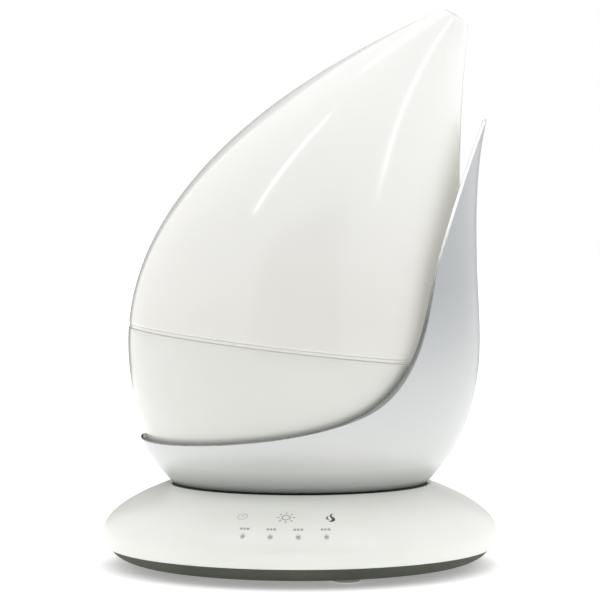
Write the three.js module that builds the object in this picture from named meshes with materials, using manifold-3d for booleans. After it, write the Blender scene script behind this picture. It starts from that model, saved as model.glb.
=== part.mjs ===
// A cool mist humidifier: a domed round base with touch controls, a bowl-shaped body wrapped by a
// tall petal, and a translucent bud-shaped water tank that lifts straight up off the body.
// Millimetres, +Z up. The origin is on the floor under the centre of the base.
// The controls face -Y, and the petal and the mist outlet stand on the +X side.
import * as THREE from "three";
import { mergeVertices } from "three/addons/utils/BufferGeometryUtils.js";
import { ParametricGeometry } from "three/addons/geometries/ParametricGeometry.js";
import Module from "manifold-3d";

const wasm = await Module();
wasm.setup();

// ---------------------------------------------------------------- driving dimensions
const GAP = 0.35; // between pieces that touch
const TURN = 2 * Math.PI;
const AROUND = 36; // facets round the large shells
const SMALL = 14; // facets round the small pieces

// Base
const BASE_RADIUS = 120;
const BASE_EDGE_INSET = 2.4; // how far the cover's lower edge turns in
const BASE_EDGE_Z = 11.5;
const BASE_EDGE_ROLL = 8.5; // from the lower edge up to the widest ring
const COVER_WALL = 2.5;
const PAN_BOTTOM_Z = 3;
const PAN_INSET = 17;
const PAN_WALL = 2.4;
const FOOT_RADIUS = 8;
const FOOT_INSET = 34; // from the base's edge to the middle of a rubber foot
const BASE_SCREW_INSET = 26;
const JACK_Z = 19.5;
const JACK_RADIUS = 5.2;
const JACK_TURN = -22.5; // degrees round from straight back

// Body: the petal and the front shell
const BODY_FOOT_RADIUS = 75.2;
const BODY_FOOT_Z = 48;
const SEAT_DEPTH = 2; // the body stands this deep in the top of the base
const CREST_RISE = 1.5; // and the dome's crest stands this far above its foot
const CREST_MARGIN = 4.8;
const BODY_SCREW_INSET = 10.2;
const BELLY_RADIUS = 109.3;
const BELLY_Z = 136;
const PETAL_FLARE = 4.5; // how far the leaf's tip leans out past the belly
const PETAL_TOP_Z = 269.5;
const PETAL_WALL = 2.1;
const PETAL_FLANGE = 1.7;
const BODY_WALL = 2.4;
const BODY_FLOOR = 2.4;

// Tank. Its outline starts at the seam, inside the belly, and ends at the open tip.
const SEAM_LEFT_Z = 146.7;
const SEAM_RIGHT_Z = 123.2;
const SEAM_INSET = 5.5;
const TIP_INSET = 7.5; // from the belly's radius in to the right side of the tip
const TIP_WIDTH = 16.5;
const TIP_Z = 327;
const TIP_SLANT = 9.3;
const TANK_WALL = 2.8;
const TANK_WALL_TIP = 2;
const FLANGE = 1.6; // the thin flange seen in the seam
const FLANGE_INSET = 1.3;
const CUP_INSET = 16.3; // from the belly's radius in to the cup that is the tank's bottom
const CUP_DROP = 11.2; // from the low end of the seam down to the cup's bottom
const CUP_WALL = 2.4;

// Basin
const BASIN_DEPTH = 26; // from the cup's bottom down to the basin's floor
const BASIN_FLOOR = 2.5;
const BASIN_WALL = 2.2;
const BASIN_CLEARANCE = 2.3; // round the cup

// Places of the working parts, seen from above
const MIST_X = 58; // atomizer and the foot of the mist tube
const FILLER_X = -42; // filler neck, cap and valve
const FLOAT_Y = -52;
const FAN_Y = 38;
const LIGHT_X = 12;

// Mist passage
const COLLAR_RADIUS = 19.5;
const COLLAR_DROP = 9;
const TUBE_RADIUS = 16; // outer radius of the tube's foot
const TUBE_RADIUS_TOP = 7;
const TUBE_WALL = 1.6;
const NOZZLE_LENGTH = 43.8; // from the tube's end to the tip
const NOZZLE_RADIUS = 6.2;
const NOZZLE_WALL = 1.2;
const NOZZLE_PROUD = 1;

// Filler cap and valve
const NECK_RADIUS = 26;
const NECK_WALL = 2.6;
const NECK_DROP = 14;
const CAP_WALL = 3;
const CAP_PLATE = 2.4;
const CAP_SEAT = 3.6; // from the cap's plate up to the neck's rim, where the gasket lies
const CAP_MARGIN = 3; // from the cap's rim up to the tank's bottom
const CAP_RIBS = 8;
const VALVE_SEAT_RADIUS = 9;
const VALVE_LIFT = 4; // how far the body's pin holds the valve open
const STEM_RADIUS = 2.2;

// Atomizer
const DISC_RADIUS = 10;
const DISC_THICK = 1.2;
const ATOMIZER_BORE = 9.2;
const ATOMIZER_BOSS = 16;

// Float
const FLOAT_RADIUS = 14;
const FLOAT_HEIGHT = 10;
const FLOAT_POST_RADIUS = 4.5;
const FLOAT_TRAVEL = 8;

// Fan and air tower
const FAN_SIZE = 40;
const FAN_HEIGHT = 12;
const FAN_BORE = 18.4;
const FAN_HUB = 9;
const FAN_BLADES = 7;
const TOWER_RADIUS = 13;
const TOWER_WALL = 2;
const TOWER_DROP = 6; // from the tank's bottom down to the tower's mouth

// Screws
const SCREW_RADIUS = 1.5;
const SCREW_HOLE = SCREW_RADIUS + GAP;
const SCREW_HEAD = 3.4;
const SCREW_HEAD_HEIGHT = 2.2;
const BASE_SCREW_LENGTH = 12;
const BODY_SCREW_LENGTH = 11;

// Controls on the front of the dome: the distance in from the base's edge, and the step in degrees
const LENS_INSET = 4.4;
const LENS_STEP = 7.9;
const LENS_RADIUS = 1.3;
const TOUCH_INSET = 17;
const TOUCH_STEP = 14.1;

// ---------------------------------------------------------------- sizes that follow from those
const BASE_EDGE_RADIUS = BASE_RADIUS - BASE_EDGE_INSET;
const BASE_WIDEST_Z = BASE_EDGE_Z + BASE_EDGE_ROLL;
const PAN_BOTTOM_RADIUS = BASE_RADIUS - PAN_INSET;
const PAN_TOP_Z = PAN_BOTTOM_Z + PAN_WALL;
const SEAT_Z = BODY_FOOT_Z - SEAT_DEPTH;
const CREST_RADIUS = BODY_FOOT_RADIUS + CREST_MARGIN;
const CREST_Z = BODY_FOOT_Z + CREST_RISE;
const LENS_RING = BASE_RADIUS - LENS_INSET;
const TOUCH_RING = BASE_RADIUS - TOUCH_INSET;
const BASE_SCREW_RING = BASE_RADIUS - BASE_SCREW_INSET;
const FOOT_RING = BASE_RADIUS - FOOT_INSET;
const BODY_SCREW_RING = BODY_FOOT_RADIUS - BODY_SCREW_INSET;
const PETAL_TIP_RADIUS = BELLY_RADIUS + PETAL_FLARE;
const PETAL_FLANGE_RADIUS = BODY_FOOT_RADIUS - 17.2;
const BODY_BOTTOM_Z = BODY_FOOT_Z + PETAL_FLANGE + GAP;
const BODY_FLOOR_Z = BODY_BOTTOM_Z + BODY_FLOOR;

const SEAM_LEFT = new THREE.Vector2(SEAM_INSET - BELLY_RADIUS, SEAM_LEFT_Z);
const SEAM_RIGHT = new THREE.Vector2(BELLY_RADIUS - SEAM_INSET - 0.8, SEAM_RIGHT_Z);
const TIP_RIGHT = new THREE.Vector2(BELLY_RADIUS - TIP_INSET, TIP_Z);
const TIP_LEFT = new THREE.Vector2(TIP_RIGHT.x - TIP_WIDTH, TIP_Z + TIP_SLANT);
const CUP_RADIUS = BELLY_RADIUS - CUP_INSET;
const CUP_BOTTOM_Z = SEAM_RIGHT_Z - CUP_DROP;

const BASIN_FLOOR_Z = CUP_BOTTOM_Z - BASIN_DEPTH;
const BASIN_UNDER_Z = BASIN_FLOOR_Z - BASIN_FLOOR;
const BASIN_RADIUS_HIGH = CUP_RADIUS + BASIN_CLEARANCE + BASIN_WALL;
const BASIN_RADIUS_LOW = CUP_RADIUS - 5;
const BASIN_RIM_RADIUS = BASIN_RADIUS_HIGH + 1.9;
const BASIN_RIM_Z = CUP_BOTTOM_Z + 6.5;

const COLLAR_BORE = COLLAR_RADIUS - 5;
const COLLAR_Z = CUP_BOTTOM_Z - COLLAR_DROP;
const NECK_BORE = NECK_RADIUS - NECK_WALL;
const NECK_Z = CUP_BOTTOM_Z - NECK_DROP;
const CAP_BORE = NECK_RADIUS + 0.5;
const CAP_RADIUS = CAP_BORE + CAP_WALL;
const CAP_BOTTOM_Z = NECK_Z - CAP_SEAT - CAP_PLATE;
const CAP_TOP_Z = CUP_BOTTOM_Z - CAP_MARGIN;
const FAN_Z = BODY_FLOOR_Z + GAP;
const TOWER_BORE = TOWER_RADIUS - TOWER_WALL;
const TOWER_Z = CUP_BOTTOM_Z - TOWER_DROP;

// ---------------------------------------------------------------- materials
const plastic = (color, roughness) => new THREE.MeshStandardMaterial({ color, roughness, metalness: 0 });
const metal = (color, roughness) => new THREE.MeshStandardMaterial({ color, roughness, metalness: 1 });
const MATERIAL = {
  tank: new THREE.MeshStandardMaterial({
    color: 0xeeeeec, roughness: 0.2, metalness: 0, transparent: true, opacity: 0.75,
  }),
  gloss_white: plastic(0xe9eae5, 0.25),
  petal: new THREE.MeshStandardMaterial({ color: 0xc9cdce, roughness: 0.35, metalness: 0.2 }),
  base_white: plastic(0xf1f2ed, 0.35),
  pan_grey: plastic(0x8b8d88, 0.6),
  inner_white: plastic(0xe4e5e2, 0.5),
  clear: plastic(0xf4f6f6, 0.1),
  silicone: plastic(0xd8dadb, 0.7),
  black_rubber: plastic(0x1c1c1b, 0.85),
  black_plastic: plastic(0x222324, 0.5),
  board: plastic(0x1f5a3c, 0.55),
  steel: metal(0xb9bbbd, 0.35),
  aluminium: metal(0xc4c6c8, 0.4),
  ceramic: plastic(0xd9c9a0, 0.4),
  float_foam: plastic(0xe6e2d4, 0.8),
  magnet: metal(0x6d6f72, 0.4),
};

// ---------------------------------------------------------------- shape helpers
const { Manifold, Mesh } = wasm;
const model = new THREE.Group();
const rad = THREE.MathUtils.degToRad;

// A closed three.js geometry as a solid that can be joined and cut.
function solid(geometry) {
  const bare = geometry.clone();
  bare.deleteAttribute("normal");
  bare.deleteAttribute("uv");
  const merged = mergeVertices(bare, 1e-4);
  return new Manifold(
    new Mesh({
      numProp: 3,
      vertProperties: new Float32Array(merged.attributes.position.array),
      triVerts: new Uint32Array(merged.index.array),
    }),
  );
}

// A branch of the model, for the pieces of one sub-assembly.
function branch(name) {
  const made = new THREE.Group();
  made.name = name;
  model.add(made);
  return made;
}

// Turns a solid into a named mesh on a branch. Copies of a piece share the solid and differ in place.
function piece(parent, name, material, body, x = 0, y = 0, z = 0) {
  const data = body.getMesh();
  const positions = new Float32Array(data.numVert * 3);
  for (let i = 0; i < data.numVert; i++) {
    positions.set(data.vertProperties.subarray(i * data.numProp, i * data.numProp + 3), i * 3);
  }
  const geometry = new THREE.BufferGeometry();
  geometry.setAttribute("position", new THREE.BufferAttribute(positions, 3));
  geometry.setIndex(new THREE.BufferAttribute(new Uint32Array(data.triVerts), 1));
  geometry.computeVertexNormals();
  const mesh = new THREE.Mesh(geometry, MATERIAL[material]);
  mesh.name = name;
  mesh.position.set(x, y, z);
  parent.add(mesh);
  return mesh;
}

const join = (...bodies) => bodies.reduce((whole, next) => whole.add(next));
const cut = (body, ...tools) => tools.reduce((left, tool) => left.subtract(tool), body);

// A solid of revolution about the vertical line through (x, y). The profile runs anticlockwise in
// (radius, height), as pairs.
function turned(profile, x = 0, y = 0, facets = SMALL) {
  const points = profile.map(([r, z]) => new THREE.Vector2(r, z));
  points.push(points[0].clone());
  const lathe = new THREE.LatheGeometry(points, facets);
  lathe.rotateX(Math.PI / 2);
  lathe.translate(x, y, 0);
  return solid(lathe);
}

// An upright disc or rod between two heights, and an upright pipe.
const rod = (r, low, high, x = 0, y = 0, facets = SMALL) =>
  turned([[0, low], [r, low], [r, high], [0, high]], x, y, facets);
const pipe = (r, bore, low, high, x = 0, y = 0, facets = SMALL) =>
  turned([[bore, low], [r, low], [r, high], [bore, high]], x, y, facets);

// A box given by its centre in plan, its sides and its lowest and highest z.
function block(x, y, width, depth, low, high, turn = 0) {
  const box = new THREE.BoxGeometry(width, depth, high - low);
  box.rotateZ(turn);
  box.translate(x, y, (low + high) / 2);
  return solid(box);
}

// The same thing made at equal steps of angle.
function ringOf(count, start, make) {
  return Array.from({ length: count }, (_, i) => make(start + (i * TURN) / count, i));
}

// Places at equal steps round a circle, the first one at a number of degrees from +X.
const placesRound = (count, degrees, radius, x = 0) =>
  ringOf(count, rad(degrees), (a) => [x + radius * Math.cos(a), radius * Math.sin(a)]);

const bezier = (...points) =>
  new THREE.CubicBezierCurve(...points.map((p) => (p.isVector2 ? p : new THREE.Vector2(...p))));

// The point of a curve where one of its coordinates, which only rises or only falls, has a value.
function pointWhere(curve, axis, value) {
  const rises = curve.getPoint(1)[axis] > curve.getPoint(0)[axis];
  let low = 0;
  let high = 1;
  for (let i = 0; i < 30; i++) {
    const middle = (low + high) / 2;
    if (curve.getPoint(middle)[axis] < value === rises) low = middle;
    else high = middle;
  }
  return curve.getPoint((low + high) / 2);
}

// A closed wall made of stations that are each a ring: at(station, angle) gives a point.
function wallOf(stations, columns, at) {
  const shape = new ParametricGeometry(
    (u, v, target) => {
      const column = Math.round(u * columns) % columns;
      const station = Math.round(v * stations) % stations;
      target.copy(at(station, column));
    },
    columns,
    stations,
  );
  return solid(shape);
}

// ---------------------------------------------------------------- the bud's outer surface
// Each ring of the bud is a circle in a plane that leans as its left and right ends do.
const bodyLeft = bezier(
  [2.9 - BODY_FOOT_RADIUS, BODY_BOTTOM_Z],
  [12.9 - BELLY_RADIUS, BODY_FOOT_Z + 18.4],
  [2.3 - BELLY_RADIUS, BELLY_Z - 22.2],
  SEAM_LEFT,
);
const bodyRight = bezier(
  [BODY_FOOT_RADIUS - 3.2, BODY_BOTTOM_Z],
  [BELLY_RADIUS - 17.8, BODY_FOOT_Z + 19.5],
  [BELLY_RADIUS - 5.9, BELLY_Z - 41],
  SEAM_RIGHT,
);
const tankLeft = bezier(
  SEAM_LEFT,
  [12.5 - BELLY_RADIUS, TIP_Z - 99],
  [TIP_LEFT.x - 96.3, TIP_Z - 32.4],
  TIP_LEFT,
);
const tankRight = bezier(
  SEAM_RIGHT,
  [BELLY_RADIUS - 13.3, TIP_Z - 121],
  [BELLY_RADIUS - 14.5, TIP_Z - 74],
  TIP_RIGHT,
);

function ringPoint(left, right, angle, inset = 0, drop = 0) {
  const middle = left.clone().add(right).multiplyScalar(0.5);
  const along = right.clone().sub(left);
  const half = along.length() / 2;
  along.normalize();
  const reach = (half - inset) * Math.cos(angle);
  return new THREE.Vector3(
    middle.x + along.x * reach,
    (half - inset) * Math.sin(angle),
    middle.y + along.y * reach - drop,
  );
}

// A shell between two pairs of silhouette curves, open at both ends.
function budShell(leftCurve, rightCurve, rings, wallAt) {
  return wallOf(2 * (rings + 1), AROUND, (station, column) => {
    const inner = station > rings;
    const t = (inner ? 2 * rings + 1 - station : station) / rings;
    const angle = (column / AROUND) * TURN;
    const inset = inner ? wallAt(t) : 0;
    return ringPoint(leftCurve.getPoint(t), rightCurve.getPoint(t), angle, inset);
  });
}

// The space inside two silhouette curves as one solid, drawn in by an inset.
function budSolid(leftCurve, rightCurve, rings, inset) {
  return wallOf(rings + 3, AROUND, (station, column) => {
    const t = Math.min(Math.max(station - 1, 0), rings) / rings;
    const left = leftCurve.getPoint(t);
    const right = rightCurve.getPoint(t);
    const pole = station === 0 || station === rings + 2;
    const reach = pole ? left.distanceTo(right) / 2 : inset;
    return ringPoint(left, right, (column / AROUND) * TURN, reach);
  });
}

// Everything above the seam's plane, with the plane moved down by drop.
const seamMiddle = SEAM_LEFT.clone().add(SEAM_RIGHT).multiplyScalar(0.5);
const seamLean = Math.atan2(SEAM_LEFT.y - SEAM_RIGHT.y, SEAM_RIGHT.x - SEAM_LEFT.x);
function aboveSeam(drop) {
  const side = 400;
  const box = new THREE.BoxGeometry(side, side, side);
  box.translate(0, 0, side / 2);
  box.rotateY(seamLean);
  box.translate(seamMiddle.x, 0, seamMiddle.y - drop);
  return solid(box);
}

// ---------------------------------------------------------------- the dome's outer surface
const domeEdge = new THREE.QuadraticBezierCurve(
  new THREE.Vector2(BASE_EDGE_RADIUS, BASE_EDGE_Z),
  new THREE.Vector2(BASE_RADIUS, BASE_EDGE_Z + 2.2),
  new THREE.Vector2(BASE_RADIUS, BASE_WIDEST_Z),
);
const dome = bezier(
  [BASE_RADIUS, BASE_WIDEST_Z],
  [BASE_RADIUS, BASE_WIDEST_Z + 0.373 * (CREST_Z - BASE_WIDEST_Z)],
  [CREST_RADIUS + 0.575 * (BASE_RADIUS - CREST_RADIUS), BASE_WIDEST_Z + 0.712 * (CREST_Z - BASE_WIDEST_Z)],
  [CREST_RADIUS, CREST_Z],
);
const domeHeight = (r) => pointWhere(dome, "x", r).y;

// ---------------------------------------------------------------- base
const baseScrews = placesRound(3, 0, BASE_SCREW_RING);
const bodyScrews = placesRound(3, 60, BODY_SCREW_RING);
const postFoot = PAN_TOP_Z + 4;

function baseCover() {
  const outer = [...domeEdge.getPoints(2), ...dome.getPoints(5).slice(1)].map((p) => [p.x, p.y]);
  const under = pointWhere(dome, "y", SEAT_Z);
  const inner = [under, ...dome.getPoints(4).reverse().filter((p) => p.y < SEAT_Z - 1)].map((p) => [
    p.x - COVER_WALL,
    p.y - COVER_WALL,
  ]);
  const shell = turned(
    [
      ...outer,
      [CREST_RADIUS - 2.4, CREST_Z - 0.9],
      [CREST_RADIUS - 3, SEAT_Z],
      [0, SEAT_Z],
      [0, SEAT_Z - COVER_WALL],
      ...inner,
      [BASE_EDGE_RADIUS - COVER_WALL, BASE_EDGE_Z],
    ],
    0, 0, AROUND,
  );
  const postTop = domeHeight(BASE_SCREW_RING) - 1.5;
  const posts = baseScrews.map((at) => rod(4.6, postFoot + GAP, postTop, ...at, 10));
  const pilots = baseScrews.map((at) => rod(SCREW_HOLE, 0, postTop - 12, ...at, 8));
  const bodyHoles = bodyScrews.map((at) => rod(SCREW_HOLE, SEAT_Z - 4, SEAT_Z + 1, ...at, 8));
  const wires = rod(9, SEAT_Z - 4, SEAT_Z + 1);
  const air = rod(FAN_BORE - 2, SEAT_Z - 4, SEAT_Z + 1, 0, FAN_Y);
  return cut(join(shell, ...posts), ...pilots, ...bodyHoles, wires, air, jackRod(JACK_RADIUS + GAP, -19, 11),
    ...lensTurns.map((turn) => lens(LENS_RADIUS + GAP, 6, 2, turn)));
}

// How far round the front each indicator lens sits.
const lensTurns = [-1.5, -0.5, 0.5, 1.5].map((i) => rad(i * LENS_STEP));

// A short rod through the front of the dome, square to its surface, turned round the axis.
function lens(radius, depth, proud, turn = 0) {
  const z = domeHeight(LENS_RING);
  const slope = Math.atan2(domeHeight(LENS_RING - 1) - z, 1);
  const shape = new THREE.CylinderGeometry(radius, radius, depth + proud, 8);
  shape.translate(0, (proud - depth) / 2, 0);
  shape.rotateX(Math.PI / 2 + slope);
  shape.translate(0, -LENS_RING, z);
  return solid(shape.rotateZ(turn));
}

function basePan() {
  const edge = new THREE.QuadraticBezierCurve(
    new THREE.Vector2(PAN_BOTTOM_RADIUS, PAN_BOTTOM_Z),
    new THREE.Vector2(BASE_RADIUS - 7.5, PAN_BOTTOM_Z + 2),
    new THREE.Vector2(BASE_EDGE_RADIUS - 1.6, BASE_EDGE_Z - GAP),
  );
  const shell = turned(
    [
      [0, PAN_BOTTOM_Z],
      ...edge.getPoints(3).map((p) => [p.x, p.y]),
      [BASE_EDGE_RADIUS - 1.6 - PAN_WALL, BASE_EDGE_Z - GAP],
      [PAN_BOTTOM_RADIUS - 1, PAN_TOP_Z],
      [0, PAN_TOP_Z],
    ],
    0, 0, AROUND,
  );
  const bosses = baseScrews.map((at) => rod(5.6, PAN_BOTTOM_Z + 1, postFoot, ...at, 10));
  const holes = baseScrews.map((at) => rod(SCREW_HOLE, 0, postFoot + 1, ...at, 8));
  const recesses = baseScrews.map((at) =>
    rod(SCREW_HEAD + GAP, 0, PAN_BOTTOM_Z + 1 + SCREW_HEAD_HEIGHT, ...at, 10));
  const slots = [-3, -2, -1, 0, 1, 2, 3].map((i) =>
    block(0, FAN_Y + i * 6.5, 44 - Math.abs(i) * 5, 2.6, 0, PAN_TOP_Z + 1));
  return cut(join(shell, ...bosses), ...holes, ...recesses, ...slots);
}

// A pan-head screw that points up, with the bottom of its head at zero.
function screw(length) {
  const top = SCREW_HEAD_HEIGHT;
  return turned(
    [
      [0, 0], [SCREW_HEAD * 0.8, 0], [SCREW_HEAD, 0.6], [SCREW_HEAD, top],
      [SCREW_RADIUS, top], [SCREW_RADIUS, top + length - 1.2], [0, top + length],
    ],
    0, 0, 8,
  );
}

function base() {
  const stand = branch("base");
  piece(stand, "base_cover", "base_white", baseCover());
  piece(stand, "base_pan", "pan_grey", basePan());
  const top = PAN_BOTTOM_Z - GAP;
  const foot = turned(
    [[0, 0], [FOOT_RADIUS - 0.8, 0], [FOOT_RADIUS, 0.8], [FOOT_RADIUS, top], [0, top]], 0, 0, 10);
  placesRound(4, 22.5, FOOT_RING).forEach(([x, y], i) => {
    piece(stand, `rubber_foot_${i + 1}`, "black_rubber", foot, x, y);
  });
  const baseScrew = screw(BASE_SCREW_LENGTH);
  baseScrews.forEach(([x, y], i) => {
    piece(stand, `base_screw_${i + 1}`, "steel", baseScrew, x, y, PAN_BOTTOM_Z + 0.6);
  });
  const indicator = lens(LENS_RADIUS, 4.2, 0.1);
  lensTurns.forEach((turn, i) => {
    piece(stand, `indicator_lens_${i + 1}`, "clear", indicator).rotation.z = turn;
  });
  piece(stand, "touch_board", "board", touchBoard());
  const pad = rod(4, 20.1 + GAP, domeHeight(TOUCH_RING + 4) - 6.2, 0, -TOUCH_RING, 10);
  [-1, 0, 1].forEach((i) => {
    piece(stand, `touch_pad_${i + 2}`, "black_rubber", pad).rotation.z = rad(i * TOUCH_STEP);
  });
  piece(stand, "air_filter", "black_plastic",
    pipe(28, 4, PAN_TOP_Z + GAP, PAN_TOP_Z + 3, 0, FAN_Y));
  piece(stand, "power_socket", "black_plastic", powerSocket());
  piece(stand, "socket_pin", "steel", jackRod(1, -13.3, -2.3, 8));
  piece(stand, "power_board", "board", powerBoard());
}

// The controls' board lies under the front of the dome.
function touchBoard() {
  const plate = pipe(BASE_RADIUS - 12, BASE_RADIUS - 38, 18.5, 20.1, 0, 0, AROUND);
  const front = block(0, 20 - BASE_RADIUS, 76, 60, 0, 40);
  const chips = [-13, 13].map((x) => block(x, 30 - BASE_RADIUS, 9, 7, 20, 22.2));
  const posts = [-32, 32].map((x) => rod(2.5, PAN_TOP_Z + GAP, 19, x, 32 - BASE_RADIUS, 8));
  return join(plate.intersect(front), ...chips, ...posts);
}

// A round length of the power socket's line, which points out of the back of the base.
function jackRod(radius, low, high, facets = SMALL) {
  const shape = new THREE.CylinderGeometry(radius, radius, high - low, facets);
  shape.translate(0, BASE_RADIUS + (low + high) / 2, JACK_Z);
  return solid(shape.rotateZ(rad(JACK_TURN)));
}

function powerSocket() {
  const housing = new THREE.BoxGeometry(14, 13, 13);
  housing.translate(0, BASE_RADIUS - 19, JACK_Z - 0.5);
  return cut(
    join(jackRod(JACK_RADIUS, -13.3, -1.3), solid(housing.rotateZ(rad(JACK_TURN)))),
    jackRod(3.1, -10.3, -0.3),
    jackRod(1 + GAP, -15, -9, 10),
  );
}

function powerBoard() {
  const low = 9;
  const plate = block(0, -18, 84, 52, low, low + 1.6);
  const parts = [
    rod(6, low, low + 17, -30, -30, 10),
    rod(6, low, low + 17, -30, -14, 16),
    rod(8, low, low + 9, -8, -26, 16),
    block(20, -28, 18, 12, low, low + 9),
    block(28, -6, 14, 8, low, low + 12),
    block(0, 0, 24, 9, low, low + 6),
  ];
  const standoffs = [[-38, -40], [38, -40], [-38, 4], [38, 4]].map(([x, y]) =>
    rod(3, PAN_TOP_Z + GAP, low + 0.5, x, y, 8));
  return join(plate, ...parts, ...standoffs);
}

// ---------------------------------------------------------------- petal and lower body
const petalWall = new THREE.CurvePath();
petalWall.add(bezier(
  [BODY_FOOT_RADIUS, BODY_FOOT_Z],
  [BELLY_RADIUS - 14.3, BODY_FOOT_Z + 18],
  [BELLY_RADIUS, BELLY_Z - 41],
  [BELLY_RADIUS, BELLY_Z],
));
petalWall.add(bezier(
  [BELLY_RADIUS, BELLY_Z],
  [BELLY_RADIUS, BELLY_Z + 29],
  [BELLY_RADIUS - 7.3, PETAL_TOP_Z - 44.5],
  [PETAL_TIP_RADIUS, PETAL_TOP_Z + 2.5],
));

// The petal's edge, as degrees round from its tip against height.
const petalEdge = [
  bezier([0, PETAL_TOP_Z], [7, PETAL_TOP_Z + 0.5], [23, PETAL_TOP_Z - 35.5], [36.8, PETAL_TOP_Z - 85]),
  bezier([36.8, PETAL_TOP_Z - 85], [42.8, 160.5], [46.3, 110.5], [68.2, 94.5]),
  bezier([68.2, 94.5], [77.5, 86], [109.2, 73.1], [180, 77.5]),
];

function petalTop(degrees) {
  const curve = petalEdge.find((one) => degrees <= one.getPoint(1).x) ?? petalEdge.at(-1);
  return pointWhere(curve, "x", degrees).y;
}

function petal() {
  const rows = 7;
  const flangeTop = BODY_FOOT_Z + PETAL_FLANGE;
  return wallOf(2 * (rows + 1) + 2, AROUND, (station, column) => {
    const angle = (column / AROUND) * TURN;
    const top = petalTop((Math.min(column, AROUND - column) * 360) / AROUND);
    const place = (r, z) => new THREE.Vector3(r * Math.cos(angle), r * Math.sin(angle), z);
    if (station === 2 * rows + 2) return place(PETAL_FLANGE_RADIUS, flangeTop);
    if (station === 2 * rows + 3) return place(PETAL_FLANGE_RADIUS, BODY_FOOT_Z);
    const inner = station > rows;
    const row = inner ? 2 * rows + 1 - station : station;
    const low = inner ? flangeTop : BODY_FOOT_Z;
    const z = low + (top - low) * (row / rows) ** 1.3;
    return place(pointWhere(petalWall, "y", z).x - (inner ? PETAL_WALL : 0), z);
  });
}

function lowerBody() {
  const body = branch("lower_body");
  piece(body, "petal", "petal",
    cut(petal(), ...bodyScrews.map((at) => rod(SCREW_HOLE, BODY_FOOT_Z - 1, BODY_BOTTOM_Z + 1, ...at, 8))));
  const shell = budShell(bodyLeft, bodyRight, 5, () => BODY_WALL);
  piece(body, "front_shell", "gloss_white", cut(shell, aboveSeam(FLANGE + 2 * GAP)));

  // Floor that closes the body's foot. The screws from the base go into pillars that carry the basin.
  const pillarTop = BASIN_UNDER_Z - GAP;
  const plate = rod(BODY_FOOT_RADIUS - 6.4, BODY_BOTTOM_Z, BODY_FLOOR_Z, 0, 0, AROUND);
  const pillars = bodyScrews.map((at) => rod(3.6, BODY_BOTTOM_Z, pillarTop, ...at, 8));
  const holes = bodyScrews.map((at) => rod(SCREW_HOLE, BODY_BOTTOM_Z - 1, BODY_FLOOR_Z + 8, ...at, 8));
  piece(body, "body_floor", "inner_white",
    cut(join(plate, ...pillars), ...holes,
      rod(FAN_BORE - 2, BODY_BOTTOM_Z - 1, BODY_FLOOR_Z + 1, 0, FAN_Y),
      rod(9, BODY_BOTTOM_Z - 1, BODY_FLOOR_Z + 1)));
  piece(body, "foot_gasket", "black_rubber",
    pipe(BODY_FOOT_RADIUS - 2.2, BODY_FOOT_RADIUS - 5.7, SEAT_Z + GAP, BODY_FOOT_Z - GAP, 0, 0, AROUND));
  const bodyScrew = screw(BODY_SCREW_LENGTH);
  bodyScrews.forEach(([x, y], i) => {
    const headLow = SEAT_Z - COVER_WALL - GAP - SCREW_HEAD_HEIGHT;
    piece(body, `body_screw_${i + 1}`, "steel", bodyScrew, x, y, headLow);
  });
}

// ---------------------------------------------------------------- basin and what works under it
function basin() {
  const low = BASIN_UNDER_Z;
  const dish = turned(
    [
      [0, low], [BASIN_RADIUS_LOW - 4, low], [BASIN_RADIUS_LOW, low + 3],
      [BASIN_RADIUS_HIGH, BASIN_RIM_Z - 2], [BASIN_RIM_RADIUS, BASIN_RIM_Z - 2],
      [BASIN_RIM_RADIUS, BASIN_RIM_Z], [BASIN_RADIUS_HIGH - BASIN_WALL, BASIN_RIM_Z],
      [BASIN_RADIUS_LOW - BASIN_WALL, BASIN_FLOOR_Z + 2], [BASIN_RADIUS_LOW - BASIN_WALL - 3, BASIN_FLOOR_Z],
      [0, BASIN_FLOOR_Z],
    ],
    0, 0, AROUND,
  );
  const floatPost = rod(FLOAT_POST_RADIUS, low, BASIN_FLOOR_Z + FLOAT_HEIGHT + FLOAT_TRAVEL + 3, 0, FLOAT_Y);
  const valvePin = rod(4, low, CAP_BOTTOM_Z - GAP, FILLER_X, 0, 12);
  const atomizerBoss = rod(ATOMIZER_BOSS, low - 7, BASIN_FLOOR_Z + 3, MIST_X, 0);
  const clampBosses = clampScrews.map(([x, y]) => rod(3.4, low - 7, low + 0.5, x, y, 8));
  return cut(
    join(dish, floatPost, valvePin, atomizerBoss, ...clampBosses),
    rod(TOWER_BORE, low - 1, BASIN_FLOOR_Z + 1, 0, FAN_Y),
    rod(ATOMIZER_BORE, low - 8, BASIN_FLOOR_Z + 4, MIST_X, 0),
    rod(13, low - 8, low - 0.2, MIST_X, 0),
    rod(10, low - 1, BASIN_FLOOR_Z + 1, LIGHT_X, 0),
    ...clampScrews.map(([x, y]) => rod(1.2 + GAP, low - 8, low - 1, x, y, 8)),
  );
}

const clampScrews = placesRound(3, 60, 20, MIST_X);

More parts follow.
